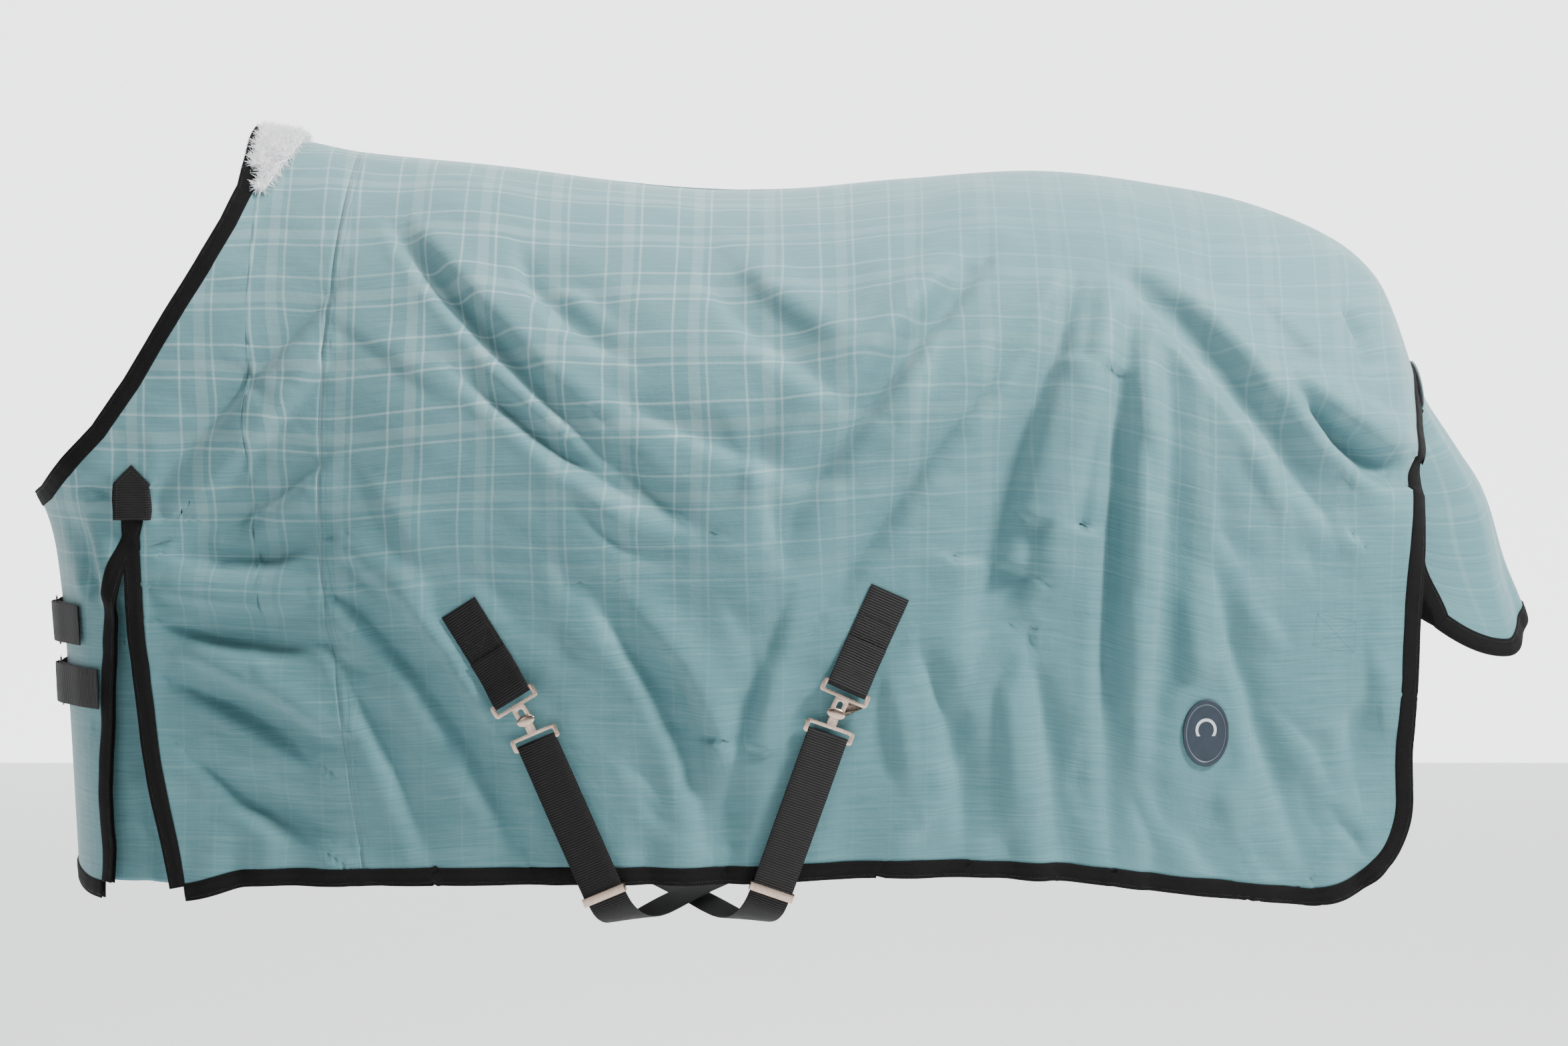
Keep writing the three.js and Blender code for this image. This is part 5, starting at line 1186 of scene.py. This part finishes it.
# ---- fleece ----------------------------------------------------------------------------------------
class Tree:
    """A geometry node tree with a short way to add nodes to it."""

    def __init__(self, name):
        self.tree = bpy.data.node_groups.new(name, "GeometryNodeTree")
        self.tree.interface.new_socket("Geometry", in_out="INPUT", socket_type="NodeSocketGeometry")
        self.tree.interface.new_socket("Geometry", in_out="OUTPUT", socket_type="NodeSocketGeometry")
        self.given = self.tree.nodes.new("NodeGroupInput").outputs[0]
        self.out = self.tree.nodes.new("NodeGroupOutput")

    def node(self, kind, inputs=None, out=0, **settings):
        made = self.tree.nodes.new(kind)
        for key, value in settings.items():
            setattr(made, key, value)
        for key, value in (inputs or {}).items():
            socket = next(i for i in made.inputs if i.identifier == key)
            if isinstance(value, bpy.types.NodeSocket):
                self.tree.links.new(value, socket)
            else:
                socket.default_value = value
        return made.outputs[out] if isinstance(out, int) else next(o for o in made.outputs if o.identifier == out)

    def bake(self, obj, geometry, material):
        """Realizes the instances, gives them their material and returns the finished mesh."""
        real = self.node("GeometryNodeRealizeInstances", {"Geometry": geometry})
        done = self.node("GeometryNodeSetMaterial", {"Geometry": real, "Material": material})
        self.tree.links.new(done, self.out.inputs[0])
        modifier = obj.modifiers.new("grow", "NODES")
        modifier.node_group = self.tree
        mesh = bpy.data.meshes.new_from_object(obj.evaluated_get(bpy.context.evaluated_depsgraph_get()))
        obj.modifiers.remove(modifier)
        return mesh


def finished(name, mesh, body, material):
    obj = bpy.data.objects.new(name, mesh)
    bpy.context.scene.collection.objects.link(obj)
    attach(obj, body)
    return dress(obj, material)


b = merged_copy("wither_fleece")
bmesh.ops.triangulate(b, faces=b.faces)
pad_mesh = bpy.data.meshes.new("fleece_pad")
b.to_mesh(pad_mesh)
b.free()
pad = bpy.data.objects.new("fleece_pad", pad_mesh)
bpy.context.scene.collection.objects.link(pad)
for kind, settings in (("REMESH", {"mode": "VOXEL", "voxel_size": 0.0028}), ("SMOOTH", {"iterations": 6, "factor": 0.6})):
    modifier = pad.modifiers.new(kind, kind)
    for key, value in settings.items():
        setattr(modifier, key, value)
mesh = bpy.data.meshes.new_from_object(pad.evaluated_get(bpy.context.evaluated_depsgraph_get()))
pad.modifiers.clear()
pad.data = mesh
mesh.polygons.foreach_set("use_smooth", [True] * len(mesh.polygons))
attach(pad, "rug")
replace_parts(dress(pad, FUR), "wither_fleece")

grow = Tree("pile")
points = grow.node("GeometryNodeDistributePointsOnFaces", {"Mesh": grow.given, "Density": 150000.0, "Seed": 4})
normal = next(o for o in points.node.outputs if o.identifier == "Normal")
strand = grow.node("GeometryNodeMeshCone", {"Vertices": 3, "Side Segments": 2, "Radius Top": 0.00012,
                                            "Radius Bottom": 0.0007, "Depth": 0.009})
lean_by = grow.node("FunctionNodeRandomValue", {"Min": (-0.75, -0.75, -0.75), "Max": (0.75, 0.75, 0.45), "Seed": 9},
                    data_type="FLOAT_VECTOR")
lean_dir = grow.node("ShaderNodeVectorMath", {"Vector": normal, "Vector_001": lean_by}, operation="ADD")
turn = grow.node("FunctionNodeAlignRotationToVector", {"Vector": lean_dir}, axis="Z")
size = grow.node("FunctionNodeRandomValue", {"Min_001": 0.6, "Max_001": 1.25, "Seed": 2}, out="Value_001", data_type="FLOAT")
tufts = grow.node("GeometryNodeInstanceOnPoints", {"Points": points, "Instance": strand, "Rotation": turn, "Scale": size})
finished("fleece_pile", grow.bake(pad, tufts, FUR), "rug", FUR)

# ---- stitching -------------------------------------------------------------------------------------
def stitch_points(runs, pitch=3.3):
    at, along, out = [], [], []
    for p, n in runs:
        run = np.concatenate([[0], np.cumsum(np.linalg.norm(np.diff(p, axis=0), axis=-1))])
        centres = np.arange(pitch / 2, run[-1], pitch)
        pick = lambda v, s: np.stack([np.interp(s, run, v[:, k]) for k in range(3)], -1)
        at.append(pick(p, centres))
        along.append(unit(pick(p, centres + 0.5) - pick(p, centres - 0.5)))
        out.append(unit(pick(np.asarray(n, float), centres)))
    return [np.concatenate(v) for v in (at, along, out)]


def stitches(name, runs, body, material, long=1.25, thick=0.42):
    at, along, out = stitch_points(runs)
    mesh = bpy.data.meshes.new(name)
    mesh.from_pydata((at * MM).tolist(), [], [])
    for key, value in (("along", along), ("out", out)):
        mesh.attributes.new(key, "FLOAT_VECTOR", "POINT").data.foreach_set("vector", value.astype(np.float32).ravel())
    marks = bpy.data.objects.new(name + "_marks", mesh)
    bpy.context.scene.collection.objects.link(marks)
    sew = Tree(name)
    one = sew.node("GeometryNodeMeshIcoSphere", {"Radius": 1 * MM, "Subdivisions": 1})
    read = lambda key: sew.node("GeometryNodeInputNamedAttribute", {"Name": key}, data_type="FLOAT_VECTOR")
    turn = sew.node("FunctionNodeAxesToRotation", {"Primary Axis": read("out"), "Secondary Axis": read("along")},
                    primary_axis="Z", secondary_axis="X")
    placed = sew.node("GeometryNodeInstanceOnPoints", {"Points": sew.given, "Instance": one, "Rotation": turn,
                                                       "Scale": (long, thick, thick * 0.8)})
    obj = finished(name, sew.bake(marks, placed, material), body, material)
    bpy.data.objects.remove(marks)
    return obj


def sewn_line(x, z, side, lift=3.75):
    q, zz = edge_run(x, z, 5)
    p, n, _, _ = on_cloth(q, zz, side == "right")
    return side_of(p + n * lift, side), side_of(n, side)


for side in SIDES:
    z = np.linspace(-30, -890, 120)
    for away in (-3.5, 5.0, 11.0)[1:]:
        seams["rug"].append(sewn_line(shoulder_seam(z) + away, z, side))
    box = np.array([(1308, -585), (1357, -596), (1355, -635), (1304, -625)], float)
    for path in ((0, 1, 2, 3, 0, 2), (1, 3)):
        line = np.concatenate([np.linspace(box[a], box[b], 12) for a, b in zip(path, path[1:])])
        seams["rug"].append(sewn_line(line[:, 0], line[:, 1], side, 3.8))
stitches("stitching_teal", seams["rug"], "rug", THREAD)
stitches("stitching_black", seams["rug_dark"], "rug", DARK_THREAD)
stitches("stitching_flap", seams["tail_flap"], "tail_flap", DARK_THREAD)

# ---- camera, floor and light -------------------------------------------------------------------------
camera = bpy.data.objects.new("camera", bpy.data.cameras.new("camera"))
camera.data.lens, camera.data.sensor_width = 107.8, 36
camera.location = (0.6568, -5.9854, -0.0745)
camera.rotation_euler = (math.radians(86), 0, 0)
bpy.context.scene.collection.objects.link(camera)
bpy.context.scene.camera = camera


bpy.ops.mesh.primitive_plane_add(size=30, location=(0.6, 0, -1.53))
floor = bpy.context.object
floor.name = "floor"
floor_look = Look("paper_seamless_white")
floor_look.into("Base Color", srgb("#F4F5F6"))
floor_look.into("Roughness", 0.9)
floor_look.into("Emission Color", srgb("#FFFFFF"))
floor_look.into("Emission Strength", 0.25)
floor.data.materials.append(floor_look.mat)
wall_look = Look("backdrop_paper_lit")
wall_look.into("Base Color", srgb("#FFFFFF"))
wall_look.into("Emission Color", srgb("#FBFCFD"))
wall_look.into("Emission Strength", 2.2)
# the paper shows only on its lit face, so it hides nothing from a camera behind it
clear = wall_look.node("ShaderNodeBsdfTransparent")
behind = wall_look.node("ShaderNodeNewGeometry", out="Backfacing")
one_sided = wall_look.node("ShaderNodeMixShader", behind, wall_look.shader.outputs[0], clear)
wall_look.tree.links.new(one_sided, wall_look.tree.nodes["Material Output"].inputs[0])
bpy.ops.mesh.primitive_plane_add(size=30, location=(0.6, 6, 0), rotation=(math.radians(90), 0, 0))
wall = bpy.context.object
wall.name = "backdrop"
wall.data.materials.append(wall_look.mat)


def softbox(name, place, aim, size, power):
    lamp = bpy.data.lights.new(name, "AREA")
    lamp.shape, lamp.size, lamp.size_y, lamp.energy = "RECTANGLE", size[0], size[1], power
    obj = bpy.data.objects.new(name, lamp)
    obj.location = place
    obj.rotation_euler = (Vector(aim) - Vector(place)).to_track_quat("-Z", "Y").to_euler()
    bpy.context.scene.collection.objects.link(obj)


softbox("key", (3.3, -1.7, 2.3), (0.75, -0.2, -0.5), (0.7, 0.7), 275)
softbox("overhead", (0.2, -1.0, 3.3), (0.6, 0, -0.3), (1.6, 0.9), 90)
softbox("front", (-3.0, -4.6, 0.6), (0.3, 0, -0.5), (1.4, 1.6), 14)
world = bpy.data.worlds.new("studio")
bpy.context.scene.world = world
world.use_nodes = True
world.node_tree.nodes["Background"].inputs[0].default_value = srgb("#F7F8FA")
world.node_tree.nodes["Background"].inputs[1].default_value = 0.11
